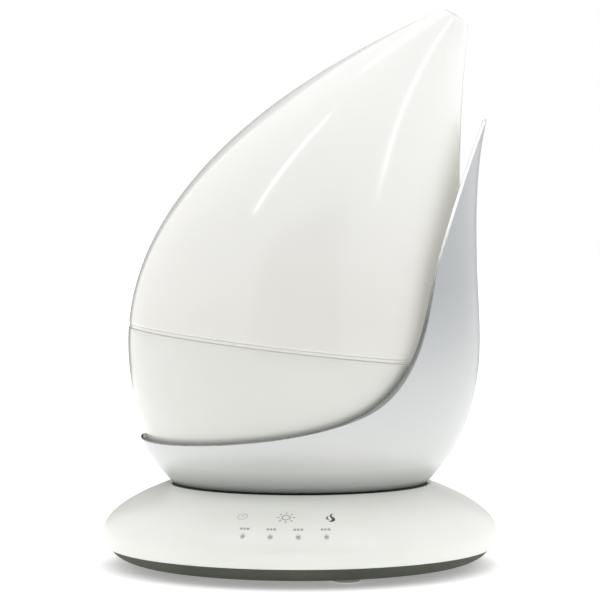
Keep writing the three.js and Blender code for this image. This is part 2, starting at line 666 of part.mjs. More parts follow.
function atomizer() {
  const mister = branch("atomizer");
  const seat = BASIN_UNDER_Z - 0.2; // top of the boss's recess
  const high = seat - GAP;
  const discTop = high - 1.1;
  const discLow = discTop - DISC_THICK;
  const low = discLow - 1.1;
  piece(mister, "atomizer_gasket", "silicone",
    turned(
      [
        [DISC_RADIUS - 1.2, low], [12.6, low], [12.6, high], [DISC_RADIUS - 1.2, high],
        [DISC_RADIUS - 1.2, discTop + GAP / 2], [DISC_RADIUS + GAP, discTop + GAP / 2],
        [DISC_RADIUS + GAP, discLow - GAP / 2], [DISC_RADIUS - 1.2, discLow - GAP / 2],
      ],
      MIST_X, 0,
    ));
  piece(mister, "atomizer_disc", "ceramic", rod(DISC_RADIUS, discLow, discTop, MIST_X, 0));
  const bossFoot = BASIN_UNDER_Z - 7;
  const plateHigh = bossFoot - GAP;
  const plate = join(
    pipe(24.5, 6, plateHigh - 1.6, plateHigh, MIST_X, 0),
    pipe(12.4, 9.4, plateHigh - 0.5, low - GAP, MIST_X, 0),
  );
  piece(mister, "atomizer_clamp", "aluminium",
    cut(plate, ...clampScrews.map(([x, y]) => rod(1.2 + GAP, plateHigh - 12, plateHigh + 1, x, y, 12))));
  const clampScrew = turned(
    [[0, -1.6], [2.6, -1.6], [2.6, 0], [1.2, 0], [1.2, 6.5], [0, 7]], 0, 0, 8);
  clampScrews.forEach(([x, y], i) => {
    piece(mister, `clamp_screw_${i + 1}`, "steel", clampScrew, x, y, plateHigh - 1.6 - GAP);
  });
  piece(mister, "driver_board", "board", driverBoard(plateHigh - 12));
  piece(mister, "heat_sink", "aluminium", heatSink(plateHigh - 12 + 1.6 + GAP));
}

function driverBoard(low) {
  const plate = block(40, -6, 44, 46, low, low + 1.6);
  const foot = BODY_FLOOR_Z + GAP;
  const standoffs = [[21, -26], [59, -26], [21, 14], [59, 14]].map(([x, y]) =>
    rod(2.2, foot, low + 0.5, x, y, 8));
  return join(plate, ...standoffs, rod(5, low, low + 7, 30, -20, 10), block(27, 6, 8, 12, low, low + 6));
}

function heatSink(low) {
  const foot = block(46, -4, 20, 18, low, low + 1.6);
  const fins = [-2, -1, 0, 1, 2].map((i) => block(46 + i * 4.4, -4, 1.2, 18, low, low + 6));
  return join(foot, ...fins);
}

function airPath() {
  const air = branch("air_path");
  const frame = block(0, FAN_Y, FAN_SIZE, FAN_SIZE, FAN_Z, FAN_Z + FAN_HEIGHT);
  const bore = rod(FAN_BORE, FAN_Z - 1, FAN_Z + FAN_HEIGHT + 1, 0, FAN_Y, AROUND);
  const corner = FAN_SIZE / 2 - 3.6;
  const holes = [[-1, -1], [1, -1], [-1, 1], [1, 1]].map(([sx, sy]) =>
    rod(1.7, FAN_Z - 1, FAN_Z + FAN_HEIGHT + 1, sx * corner, FAN_Y + sy * corner, 8));
  const spokes = [0, 60, 120].map((a) => block(0, FAN_Y, 2 * FAN_BORE + 1, 2, FAN_Z, FAN_Z + 1.4, rad(a)));
  const motor = rod(FAN_HUB, FAN_Z, FAN_Z + 1.6, 0, FAN_Y);
  const axle = rod(1, FAN_Z, FAN_Z + 7, 0, FAN_Y, 12);
  piece(air, "fan_frame", "black_plastic", join(cut(frame, bore, ...holes), ...spokes, motor, axle));

  const hub = rod(FAN_HUB, FAN_Z + 2.2, FAN_Z + FAN_HEIGHT - 0.8, 0, FAN_Y);
  const blades = ringOf(FAN_BLADES, 0, (a) => {
    const blade = new THREE.BoxGeometry(FAN_BORE - FAN_HUB + 0.6, 1.2, 9.6);
    blade.rotateX(rad(42));
    blade.translate((FAN_BORE + FAN_HUB) / 2 - 1.1, 0, 0);
    blade.rotateZ(a);
    blade.translate(0, FAN_Y, FAN_Z + 6.8);
    return solid(blade);
  });
  piece(air, "fan_rotor", "black_plastic",
    cut(join(hub, ...blades), rod(1.4, FAN_Z + 2, FAN_Z + 7.6, 0, FAN_Y, 12)));

  const low = FAN_Z + FAN_HEIGHT + GAP;
  const high = BASIN_UNDER_Z - GAP;
  piece(air, "air_duct", "inner_white",
    turned(
      [[17.5, low], [19.5, low], [19.5, low + 1.5], [13.4, high], [11.4, high], [17.5, low + 1.5]],
      0, FAN_Y));

  piece(air, "air_tower", "inner_white",
    turned([[TOWER_BORE, BASIN_FLOOR_Z + GAP], [TOWER_RADIUS + 3, BASIN_FLOOR_Z + GAP],
      [TOWER_RADIUS + 3, BASIN_FLOOR_Z + 2], [TOWER_RADIUS, BASIN_FLOOR_Z + 3], [TOWER_RADIUS, TOWER_Z],
      [TOWER_BORE, TOWER_Z]], 0, FAN_Y));
  const ring = pipe(TOWER_RADIUS + 2, TOWER_RADIUS + GAP, TOWER_Z - 7, TOWER_Z - 3.5, 0, FAN_Y);
  const lidEdge = TOWER_RADIUS + 2;
  const lid = turned(
    [[0, TOWER_Z + 3.6], [lidEdge, TOWER_Z + 2.8], [lidEdge, TOWER_Z + 4], [0, TOWER_Z + 5]], 0, FAN_Y);
  const legs = ringOf(3, rad(30), (a) =>
    block((lidEdge - 0.8) * Math.cos(a), FAN_Y + (lidEdge - 0.8) * Math.sin(a), 1.2, 4,
      TOWER_Z - 4, TOWER_Z + 3.4, a));
  piece(air, "splash_cap", "inner_white", join(ring, lid, ...legs));
}

function lightAndFloat() {
  const bowl = branch("basin_and_float");
  piece(bowl, "basin", "inner_white", basin());
  const low = BASIN_UNDER_Z;
  piece(bowl, "light_window", "clear",
    turned([[0, low - 1.5], [10 - GAP, low - 1.5], [10 - GAP, BASIN_FLOOR_Z + GAP],
      [13, BASIN_FLOOR_Z + GAP], [13, BASIN_FLOOR_Z + 1.4], [9.5, BASIN_FLOOR_Z + 2.6],
      [0, BASIN_FLOOR_Z + 3.6]], LIGHT_X, 0));
  const boardTop = low - 4.5;
  const leds = ringOf(6, 0, (a) =>
    block(LIGHT_X + 7 * Math.cos(a), 7 * Math.sin(a), 3, 3, boardTop - 0.5, boardTop + 1.2, a));
  const stubs = placesRound(3, 30, 11.4, LIGHT_X).map((at) => rod(1.3, boardTop - 1, low - GAP, ...at, 8));
  piece(bowl, "light_board", "board", join(rod(13, boardTop - 1.6, boardTop, LIGHT_X, 0), ...leds, ...stubs));

  const floatLow = BASIN_FLOOR_Z + GAP;
  const floatHigh = floatLow + FLOAT_HEIGHT;
  const bore = FLOAT_POST_RADIUS + 0.8;
  piece(bowl, "float_ring", "float_foam",
    turned([[bore, floatLow], [FLOAT_RADIUS - 1.5, floatLow], [FLOAT_RADIUS, floatLow + 1.5],
      [FLOAT_RADIUS, floatHigh - 1.5], [FLOAT_RADIUS - 1.5, floatHigh], [10.5, floatHigh],
      [10.5, floatHigh - 4], [bore, floatHigh - 4]], 0, FLOAT_Y));
  piece(bowl, "float_magnet", "magnet",
    pipe(10.5 - GAP, bore, floatHigh - 4 + GAP, floatHigh - 0.5, 0, FLOAT_Y));
  const postTop = BASIN_FLOOR_Z + FLOAT_HEIGHT + FLOAT_TRAVEL + 3;
  piece(bowl, "float_clip", "inner_white",
    turned([[0, postTop + GAP], [FLOAT_POST_RADIUS + GAP, postTop + GAP],
      [FLOAT_POST_RADIUS + GAP, postTop - 1.8],
      [FLOAT_POST_RADIUS + 2.6, postTop - 1.8], [FLOAT_POST_RADIUS + 2.2, postTop + 1.6], [0, postTop + 1.8]],
      0, FLOAT_Y));
  piece(bowl, "reed_switch", "clear", block(0, FLOAT_Y, 14, 3, low - GAP - 2.6, low - GAP));
}

// ---------------------------------------------------------------- tank
// The mist tube's line, from the collar in the tank's bottom to the middle of the tip.
const tubeFoot = new THREE.Vector3(MIST_X, 0, CUP_BOTTOM_Z + CUP_WALL + GAP);
const tipMiddle = TIP_LEFT.clone().add(TIP_RIGHT).multiplyScalar(0.5);
const tubeLine = new THREE.Vector3(tipMiddle.x, 0, tipMiddle.y).sub(tubeFoot);
const tubeLean = Math.atan2(tubeLine.x, tubeLine.z);
const tubeLength = tubeLine.length() - NOZZLE_LENGTH;

// A solid of revolution about the mist tube's line. Heights are along it, from the tube's foot.
function alongTube(profile) {
  const points = profile.map(([r, z]) => new THREE.Vector2(r, z));
  points.push(points[0].clone());
  const lathe = new THREE.LatheGeometry(points, SMALL);
  lathe.rotateX(Math.PI / 2);
  lathe.rotateY(tubeLean);
  lathe.translate(tubeFoot.x, tubeFoot.y, tubeFoot.z);
  return solid(lathe);
}

function tankFloor() {
  const high = SEAM_LEFT_Z + 13.3;
  const cup = cut(
    rod(CUP_RADIUS, CUP_BOTTOM_Z, high, 0, 0, AROUND),
    rod(CUP_RADIUS - CUP_WALL, CUP_BOTTOM_Z + CUP_WALL, high + 1, 0, 0, AROUND),
  );
  const slab = budSolid(bodyLeft, bodyRight, 5, FLANGE_INSET).intersect(aboveSeam(GAP + FLANGE));
  const ring = cut(slab, rod(CUP_RADIUS - CUP_WALL, CUP_BOTTOM_Z - 30, high, 0, 0, AROUND));
  return cut(
    cut(join(cup, ring), aboveSeam(GAP)),
    rod(NECK_BORE, CUP_BOTTOM_Z - 1, high, FILLER_X, 0, 20),
    rod(COLLAR_BORE, CUP_BOTTOM_Z - 1, high, MIST_X, 0),
  );
}

function tank() {
  const tankPieces = branch("tank");
  const wallAt = (t) => TANK_WALL + (TANK_WALL_TIP - TANK_WALL) * t;
  piece(tankPieces, "tank_shell", "tank", budShell(tankLeft, tankRight, 9, wallAt));
  piece(tankPieces, "tank_floor", "tank", tankFloor());
  const under = CUP_BOTTOM_Z - GAP;
  piece(tankPieces, "filler_neck", "tank", pipe(NECK_RADIUS, NECK_BORE, NECK_Z, under, FILLER_X, 0, 20));
  piece(tankPieces, "mist_collar", "tank", pipe(COLLAR_RADIUS, COLLAR_BORE, COLLAR_Z, under, MIST_X, 0));
  piece(tankPieces, "mist_tube", "tank",
    cut(
      alongTube([[TUBE_RADIUS - TUBE_WALL, -8], [TUBE_RADIUS, -8], [TUBE_RADIUS, 0],
        [TUBE_RADIUS_TOP, tubeLength], [TUBE_RADIUS_TOP - TUBE_WALL, tubeLength],
        [TUBE_RADIUS - TUBE_WALL, 0]]),
      block(MIST_X, 0, 60, 60, CUP_BOTTOM_Z - 20, CUP_BOTTOM_Z + CUP_WALL + GAP)));
  const tip = tubeLine.length();
  const nozzleBore = NOZZLE_RADIUS - NOZZLE_WALL;
  const nozzle = alongTube([
    [nozzleBore, tubeLength + GAP], [TUBE_RADIUS_TOP, tubeLength + GAP],
    [TUBE_RADIUS_TOP, tubeLength + 3], [NOZZLE_RADIUS, tubeLength + 8], [NOZZLE_RADIUS, tip + 12],
    [nozzleBore, tip + 12],
  ]);
  piece(tankPieces, "mist_nozzle", "tank", cut(nozzle, aboveTip(NOZZLE_PROUD)));
}

// Everything above the plane of the tank's open tip, moved out by proud.
function aboveTip(proud) {
  const side = 120;
  const box = new THREE.BoxGeometry(side, side, side);
  box.translate(0, 0, side / 2 + proud);
  box.rotateY(Math.atan2(TIP_LEFT.y - TIP_RIGHT.y, TIP_RIGHT.x - TIP_LEFT.x));
  box.translate(tipMiddle.x, 0, tipMiddle.y);
  return solid(box);
}

// ---------------------------------------------------------------- filler cap and valve
function fillerCap() {
  const capPieces = branch("filler_cap_and_valve");
  const plateTop = CAP_BOTTOM_Z + CAP_PLATE;
  const cup = turned(
    [
      [VALVE_SEAT_RADIUS, CAP_BOTTOM_Z], [CAP_RADIUS - 2, CAP_BOTTOM_Z], [CAP_RADIUS, CAP_BOTTOM_Z + 2],
      [CAP_RADIUS, CAP_TOP_Z], [CAP_BORE, CAP_TOP_Z], [CAP_BORE, plateTop], [VALVE_SEAT_RADIUS, plateTop],
    ],
    FILLER_X, 0, 20,
  );
  const ribs = ringOf(CAP_RIBS, 0, (a) =>
    block(FILLER_X + CAP_RADIUS * Math.cos(a), CAP_RADIUS * Math.sin(a), 2, 3,
      CAP_BOTTOM_Z + 3, CAP_TOP_Z - 1, a));
  piece(capPieces, "filler_cap", "gloss_white", join(cup, ...ribs));
  piece(capPieces, "cap_gasket", "silicone",
    pipe(NECK_RADIUS, NECK_BORE + 0.4, plateTop + GAP, NECK_Z - GAP, FILLER_X, 0, 20));

  // Cage that guides the stem and holds the spring's upper end.
  const cageTop = CUP_BOTTOM_Z + 4;
  const foot = pipe(17, 14, plateTop + GAP, plateTop + 2.2, FILLER_X, 0);
  const roof = pipe(15.5, STEM_RADIUS + 0.5, cageTop - 2, cageTop, FILLER_X, 0);
  const posts = ringOf(3, 0, (a) =>
    block(FILLER_X + 15 * Math.cos(a), 15 * Math.sin(a), 2, 4, plateTop + 1, cageTop - 0.5, a));
  piece(capPieces, "valve_cage", "inner_white", join(foot, roof, ...posts));

  const discLow = plateTop + GAP + 1.6 + GAP + VALVE_LIFT;
  piece(capPieces, "valve_stem", "inner_white",
    turned([[0, CAP_BOTTOM_Z], [STEM_RADIUS, CAP_BOTTOM_Z], [STEM_RADIUS, discLow], [11.5, discLow],
      [11.5, discLow + 1.6], [STEM_RADIUS, discLow + 1.6], [STEM_RADIUS, cageTop + 3], [0, cageTop + 3]],
      FILLER_X, 0));
  piece(capPieces, "valve_seal", "silicone",
    pipe(12.2, STEM_RADIUS + GAP, discLow - GAP - 1.6, discLow - GAP, FILLER_X, 0));
  piece(capPieces, "valve_spring", "steel", spring(6, 0.6, discLow + 1.6 + GAP, cageTop - 2 - GAP, 3));
}

// A coil spring round the valve's stem.
function spring(radius, wire, low, high, turns) {
  class Helix extends THREE.Curve {
    getPoint(t, target = new THREE.Vector3()) {
      const a = t * turns * TURN;
      const z = low + wire + (high - low - 2 * wire) * t;
      return target.set(FILLER_X + radius * Math.cos(a), radius * Math.sin(a), z);
    }
  }
  const section = new THREE.Shape();
  section.absarc(0, 0, wire, 0, TURN);
  return solid(
    new THREE.ExtrudeGeometry(section, { extrudePath: new Helix(), steps: turns * 10, curveSegments: 2 }));
}

base();
lowerBody();
atomizer();
airPath();
lightAndFloat();
tank();
fillerCap();

export default model;
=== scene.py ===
import bpy
import bmesh
import math
import numpy as np
from mathutils import Matrix, Vector
from mathutils.bvhtree import BVHTree
from mathutils.interpolate import poly_3d_calc


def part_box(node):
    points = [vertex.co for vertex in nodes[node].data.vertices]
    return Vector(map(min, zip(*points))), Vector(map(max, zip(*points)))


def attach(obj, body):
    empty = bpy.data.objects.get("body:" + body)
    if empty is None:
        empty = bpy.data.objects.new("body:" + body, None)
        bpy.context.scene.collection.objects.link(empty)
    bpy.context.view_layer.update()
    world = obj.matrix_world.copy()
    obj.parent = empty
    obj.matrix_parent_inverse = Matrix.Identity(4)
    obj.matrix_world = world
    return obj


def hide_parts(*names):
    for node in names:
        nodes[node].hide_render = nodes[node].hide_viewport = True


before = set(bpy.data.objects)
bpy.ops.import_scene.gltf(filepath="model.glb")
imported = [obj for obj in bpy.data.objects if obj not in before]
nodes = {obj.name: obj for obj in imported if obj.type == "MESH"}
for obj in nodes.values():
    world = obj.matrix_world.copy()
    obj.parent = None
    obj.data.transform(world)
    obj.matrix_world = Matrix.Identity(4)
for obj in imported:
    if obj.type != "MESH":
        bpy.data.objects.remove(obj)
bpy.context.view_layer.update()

# ---------------------------------------------------------------- camera
# The humidifier stands on a table and is looked at from the front, a little from its right,
# with the lens at the height of the tank's shoulder and tipped slightly down.
CAMERA_TURN = math.radians(4.4)
CAMERA_DISTANCE = 1.45
camera = bpy.data.objects.new("camera", bpy.data.cameras.new("camera"))
bpy.context.scene.collection.objects.link(camera)
camera.data.sensor_width = 36
camera.data.lens = 142.9
camera.data.clip_end = 60
camera.location = (CAMERA_DISTANCE * math.sin(CAMERA_TURN), -CAMERA_DISTANCE * math.cos(CAMERA_TURN), 0.198)
camera.rotation_euler = (Vector((0, 0, 0.160)) - camera.location).to_track_quat("-Z", "Y").to_euler()
bpy.context.scene.camera = camera

# ---------------------------------------------------------------- base pan
# The dark bottom of the base: one shallow moulded ABS dish with a slotted air inlet at the back,
# held to the white cover by three screws that go up through recesses into bosses.
MM = 0.001
AROUND = 144


def linear(code):
    """An sRGB hex colour as linear red, green, blue and alpha."""
    parts = [int(code[i:i + 2], 16) / 255 for i in (1, 3, 5)]
    return [c / 12.92 if c <= 0.04045 else ((c + 0.055) / 1.055) ** 2.4 for c in parts] + [1.0]


def add(tree, kind, inputs=None, **settings):
    """Adds one node with its settings. An input that is a socket is linked, and any other is set."""
    made = tree.nodes.new(kind)
    for key, value in settings.items():
        setattr(made, key, value)
    for key, value in (inputs or {}).items():
        if isinstance(value, bpy.types.NodeSocket):
            tree.links.new(value, made.inputs[key])
        else:
            made.inputs[key].default_value = value
    return made


def finished(name, colour, roughness, **sockets):
    """A new material: its node tree, its shader and the piece's own coordinates in metres."""
    made = bpy.data.materials.new(name)
    made.use_nodes = True
    tree = made.node_tree
    tree.nodes.clear()
    values = {"Base Color": linear(colour), "Roughness": roughness}
    values.update({key.replace("_", " "): value for key, value in sockets.items()})
    shader = add(tree, "ShaderNodeBsdfPrincipled", values)
    add(tree, "ShaderNodeOutputMaterial", {"Surface": shader.outputs["BSDF"]})
    place = add(tree, "ShaderNodeTexCoord").outputs["Object"]
    return made, tree, shader, place


def grain(tree, shader, place, size, depth, strength=1.0, detail=2.0):
    """The bump of a moulded or cast skin: grains of the given size and depth in millimetres."""
    pattern = add(tree, "ShaderNodeTexNoise", {"Vector": place, "Scale": 1 / (size * MM), "Detail": detail})
    bump = add(tree, "ShaderNodeBump",
               {"Height": pattern.outputs["Fac"], "Distance": depth * MM, "Strength": strength})
    tree.links.new(bump.outputs["Normal"], shader.inputs["Normal"])
    return pattern


def mottled(tree, shader, place, size, first, second, low, high):
    """Slow change of tone and of gloss over the skin, between two colours and two roughnesses."""
    cloud = add(tree, "ShaderNodeTexNoise", {"Vector": place, "Scale": 1 / (size * MM), "Detail": 3.0})
    ramp = add(tree, "ShaderNodeValToRGB", {"Fac": cloud.outputs["Fac"]})
    ramp.color_ramp.elements[0].position = 0.35
    ramp.color_ramp.elements[0].color = linear(first)
    ramp.color_ramp.elements[1].position = 0.65
    ramp.color_ramp.elements[1].color = linear(second)
    tree.links.new(ramp.outputs["Color"], shader.inputs["Base Color"])
    gloss = add(tree, "ShaderNodeMapRange",
                {"Value": cloud.outputs["Fac"], "From Min": 0.3, "From Max": 0.7, "To Min": low,
                "To Max": high})
    tree.links.new(gloss.outputs["Result"], shader.inputs["Roughness"])
    return cloud


def bezier(*points, steps=24):
    """Points along a quadratic or cubic curve, as radius or x against height."""
    t = np.linspace(0, 1, steps + 1)[:, None]
    p = np.array(points, float)
    if len(p) == 3:
        return (1 - t) ** 2 * p[0] + 2 * t * (1 - t) * p[1] + t ** 2 * p[2]
    return (1 - t) ** 3 * p[0] + 3 * t * (1 - t) ** 2 * p[1] + 3 * t ** 2 * (1 - t) * p[2] + t ** 3 * p[3]


def eased(corners, steps=4):
    """A closed profile whose corners are rounded. A corner is (radius, height) or has its fillet third.
    A point just past each end of a fillet keeps the flat beside it flat in the light."""
    made = []
    count = len(corners)
    for i, corner in enumerate(corners):
        here = np.array(corner[:2], float)
        fillet = corner[2] if len(corner) > 2 else 0
        before = np.array(corners[i - 1][:2], float) - here
        after = np.array(corners[(i + 1) % count][:2], float) - here
        reach = min(fillet, 0.45 * np.linalg.norm(before), 0.45 * np.linalg.norm(after))
        if reach < 1e-6:
            made.append(here)
            continue
        start = here + before / np.linalg.norm(before) * reach
        end = here + after / np.linalg.norm(after) * reach
        made.append(start + before / np.linalg.norm(before) * min(0.3, 0.1 * np.linalg.norm(before)))
        made.extend(bezier(start, here, end, steps=steps))
        made.append(end + after / np.linalg.norm(after) * min(0.3, 0.1 * np.linalg.norm(after)))
    return np.array(made)


def tidied(mesh, sharp=38):
    """Merges doubled points, turns the faces outwards and smooths all but the sharp edges."""
    work = bmesh.new()
    work.from_mesh(mesh)
    bmesh.ops.remove_doubles(work, verts=work.verts, dist=2e-6)
    bmesh.ops.recalc_face_normals(work, faces=work.faces)
    work.to_mesh(mesh)
    work.free()
    mesh.shade_smooth()
    mesh.set_sharp_from_angle(angle=math.radians(sharp))
    return mesh


def skin(rings, loop=True):
    """A mesh through rings of points in millimetres. With loop, the last ring joins the first."""
    rings = np.asarray(rings, float)
    high, wide = rings.shape[:2]
    index = np.arange(high * wide).reshape(high, wide)
    if loop:
        index = np.vstack([index, index[:1]])
    low, top = index[:-1], index[1:]
    faces = np.stack([low, np.roll(low, -1, 1), np.roll(top, -1, 1), top], -1).reshape(-1, 4)
    mesh = bpy.data.meshes.new("skin")
    mesh.from_pydata((rings.reshape(-1, 3) * MM).tolist(), [], faces.tolist())
    return tidied(mesh)


def turned(profile, x=0, y=0, around=AROUND):
    """A solid turned about a vertical line. The profile is closed, as radius against height."""
    angle = np.linspace(0, 2 * math.pi, around, endpoint=False)
    profile = np.asarray(profile, float)
    rings = np.stack([
        x + profile[:, :1] * np.cos(angle),
        y + profile[:, :1] * np.sin(angle),
        np.repeat(profile[:, 1:2], around, 1),
    ], -1)
    return skin(rings)


def rod(radius, low, high, x=0, y=0, around=48, ease=0.3):
    """A round post with eased ends."""
    return turned(eased([(0, low), (radius, low, ease), (radius, high, ease), (0, high)]), x, y, around)


def bar(x, y, width, depth, low, high, turn=0.0, ease=0.3):
    """A block with eased edges, turned about its own middle."""
    work = bmesh.new()
    bmesh.ops.create_cube(work, size=1)
    bmesh.ops.scale(work, vec=(width * MM, depth * MM, (high - low) * MM), verts=work.verts)
    if ease:
        bmesh.ops.bevel(work, geom=work.edges[:], offset=ease * MM, segments=2, profile=0.5, affect="EDGES")
    mesh = bpy.data.meshes.new("bar")
    work.to_mesh(mesh)
    work.free()
    mesh.transform(Matrix.Translation((x * MM, y * MM, (low + high) / 2 * MM)) @ Matrix.Rotation(turn, 4,
        "Z"))
    return tidied(mesh)


def joined(*meshes):
    """Several meshes in one."""
    work = bmesh.new()
    for mesh in meshes:
        work.from_mesh(mesh)
    made = bpy.data.meshes.new("joined")
    work.to_mesh(made)
    work.free()
    made.shade_smooth()
    made.set_sharp_from_angle(angle=math.radians(38))
    return made


def carved(mesh, *cutters):
    """The mesh with the cutters taken away. The cutters don't meet each other."""
    body = bpy.data.objects.new("body", mesh)
    tool = bpy.data.objects.new("tool", joined(*cutters))
    for one in (body, tool):
        bpy.context.scene.collection.objects.link(one)
    bore = body.modifiers.new("bore", "BOOLEAN")
    bore.operation = "DIFFERENCE"
    bore.solver = "EXACT"
    bore.object = tool
    seen = body.evaluated_get(bpy.context.evaluated_depsgraph_get())
    made = tidied(bpy.data.meshes.new_from_object(seen))
    for one in (body, tool):
        bpy.data.objects.remove(one)

    # The uncut skin lends its shading to the cut one, so that the long faces round a hole stay smooth.
    points = [v.co for v in mesh.vertices]
    tree = BVHTree.FromPolygons(points, [tuple(face.vertices) for face in mesh.polygons])
    own = [corner.vector.copy() for corner in made.corner_normals]
    for face in made.polygons:
        for loop in face.loop_indices:
            spot = made.vertices[made.loops[loop].vertex_index].co.lerp(face.center, 0.002)
            _, normal, index, distance = tree.find_nearest(spot)
            if index is None or distance > 2e-5 or normal.dot(face.normal) < 0.97:
                continue
            source = mesh.polygons[index]
            shares = poly_3d_calc([points[i] for i in source.vertices], spot)
            blend = Vector((0, 0, 0))
            for share, corner in zip(shares, source.loop_indices):
                blend += mesh.corner_normals[corner].vector * share
            own[loop] = blend.normalized()
    made.normals_split_custom_set(own)
    return made


def fit(name, mesh, finish, slot, body, *replaced, weighted=True):
    """Puts a finished piece on its body in place of the plain solids that it stands for."""
    mesh.materials.clear()
    mesh.materials.append(finish)
    made = bpy.data.objects.new(name, mesh)
    bpy.context.scene.collection.objects.link(made)
    if weighted:
        even = made.modifiers.new("even shading", "WEIGHTED_NORMAL")
        even.keep_sharp = True
    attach(made, body)
    if replaced:
        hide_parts(*replaced)
    return made


def ring_of(count, degrees, radius, x=0.0, y=0.0):
    """Places evenly round a ring, with the first at the given angle."""
    turns = [math.radians(degrees + 360 * i / count) for i in range(count)]
    return [(x + radius * math.cos(a), y + radius * math.sin(a), a) for a in turns]


# Charcoal ABS from a spark-eroded mould: an even, dull skin that breaks highlights into a fine sparkle.
# The real grain is about 0.15 mm, drawn at 0.5 mm so that it shows.
charcoal_abs, tree, shader, place = finished("charcoal_abs_spark_textured", "#4c5044", 0.6, IOR=1.5,
    Specular_IOR_Level=0.2)
mottled(tree, shader, place, 30, "#484c40", "#515549", 0.55, 0.66)
grain(tree, shader, place, 0.5, 0.05)

base_screw_places = ring_of(3, 0, 94)
pan_edge = bezier((103, 3), (112.5, 5), (116, 11.15), steps=12)
pan = turned(np.vstack([
    [[0, 3]], eased([(0, 3), (103, 3, 1.5), tuple(pan_edge[2])])[1:-1], pan_edge[2:],
    [[113.6, 11.15], [102, 5.4], [0, 5.4]],
]))
slots = [bar(0, 38 + 6.5 * i, 44 - 5 * abs(i), 2.6, 0, 8, 0, 0.9) for i in range(-3, 4)]
recesses = [rod(3.75, 0, 5.6, x, y, 32, 0.1) for x, y, _ in base_screw_places]
bosses = [rod(5.6, 5.2, 12, x, y, 32) for x, y, _ in base_screw_places]
pan = carved(pan, *slots, *recesses)
fit("pan", pan, charcoal_abs, "pan_grey", "body", "base_pan", weighted=False)
fit("pan_bosses", joined(*bosses), charcoal_abs, "pan_grey", "body")

# ---------------------------------------------------------------- feet and base screws
# Four moulded silicone pads are stuck under the pan, and three zinc-plated pan-head screws
# with a cross recess stand in the pan's bosses.

# Moulded silicone: a pale milky grey, nearly matt, that takes the tone of whatever it stands on.
pale_silicone, tree, shader, place = finished("silicone_pale_grey_matt", "#b9bab5", 0.6, IOR=1.43)
mottled(tree, shader, place, 8, "#b4b5b0", "#bebfba", 0.55, 0.68)
grain(tree, shader, place, 0.4, 0.01)
foot = eased([(0, 0), (8, 0, 0.9), (8, 2.65, 0.3), (0, 2.65)])
for i, (x, y, _) in enumerate(ring_of(4, 22.5, 86)):
    fit(f"foot_{i + 1}", turned(foot, x, y, 64), pale_silicone, "black_rubber", "body",
        f"rubber_foot_{i + 1}")

# Zinc plate over cold-headed steel: a bright, slightly blue metal with turning marks round the head.
zinc_plate, tree, shader, place = finished("steel_zinc_plated", "#b9bcc0", 0.32, Metallic=1.0)
mottled(tree, shader, place, 2.5, "#aeb1b6", "#c2c4c6", 0.26, 0.4)
grain(tree, shader, place, 0.3, 0.01)


def screw(length, x, y, z):
    """A pan-head screw that points up, with a cross recess under its head."""
    head = eased([(0, 0), (3.1, 0, 1.2), (3.4, 0.7, 0.4), (3.4, 2, 0.2), (1.5, 2),
        (1.5, 2 + length - 1.2), (0, 2 + length)])
    made = carved(turned(head, around=32), bar(0, 0, 3.4, 0.8, -1, 1.2, 0, 0.1))
    made = carved(made, bar(0, 0, 0.8, 3.4, -1, 1.1, 0, 0.1))
    made.transform(Matrix.Translation((x * MM, y * MM, z * MM)))
    return made


low_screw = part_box("base_screw_1")[0].z / MM
base_screw_length = (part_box("base_screw_1")[1].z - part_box("base_screw_1")[0].z) / MM - 2
for i, (x, y, _) in enumerate(base_screw_places):
    fit(f"pan_screw_{i + 1}", screw(base_screw_length, x, y, low_screw), zinc_plate, "steel", "body",
        f"base_screw_{i + 1}")


def coat(finish, *names):
    """Gives carried-over solids their material."""
    for name in names:
        for place in nodes[name].material_slots:
            place.material = finish


coat(zinc_plate, "socket_pin")

# ---------------------------------------------------------------- parts inside the base
# The power inlet, its board, the controls' board with three rubber-tipped touch pads and the washable
# black nylon dust filter are clipped in before the cover goes on. Boards are glass-epoxy with green mask.

# Injection-moulded black nylon: satin, with faint flow marks and a fine grain.
black_nylon, tree, shader, place = finished("nylon_black_satin", "#1d1e20", 0.42, IOR=1.53)
mottled(tree, shader, place, 9, "#191a1c", "#232427", 0.36, 0.5)
grain(tree, shader, place, 0.6, 0.03)

# Solder mask over glass epoxy: deep glossy green, with the copper tracks as lighter raised lines.
# Tracks are about 0.4 mm wide on a 2.5 mm grid.
solder_mask, tree, shader, place = finished("circuit_board_green_mask", "#14502c", 0.3, IOR=1.55,
    Coat_Weight=0.4)
tracks = add(tree, "ShaderNodeTexBrick", {
    "Vector": place, "Scale": 1 / (5 * MM), "Color1": linear("#14502c"), "Color2": linear("#175631"),
    "Mortar": linear("#2c7a48"), "Mortar Size": 0.05, "Brick Width": 1.6, "Row Height": 0.5,
})
tree.links.new(tracks.outputs["Color"], shader.inputs["Base Color"])
relief = add(tree, "ShaderNodeBump", {"Height": tracks.outputs["Fac"], "Distance": 0.05 * MM})
tree.links.new(relief.outputs["Normal"], shader.inputs["Normal"])

# Moulded nitrile rubber: matt black with a soft sheen at grazing angles and a bloom of fine dust.
nitrile, tree, shader, place = finished("nitrile_rubber_matt", "#1c1c1d", 0.75, IOR=1.52, Sheen_Weight=0.15)
mottled(tree, shader, place, 6, "#18181a", "#232324", 0.68, 0.82)
grain(tree, shader, place, 0.8, 0.06)

coat(black_nylon, "power_socket", "air_filter")
coat(solder_mask, "power_board", "touch_board")
coat(nitrile, "touch_pad_1", "touch_pad_2", "touch_pad_3")
for name in ("power_board", "touch_board", "power_socket"):
    soft = nodes[name].modifiers.new("eased edges", "BEVEL")
    soft.width = 0.25 * MM
    soft.segments = 2
    soft.limit_method = "ANGLE"

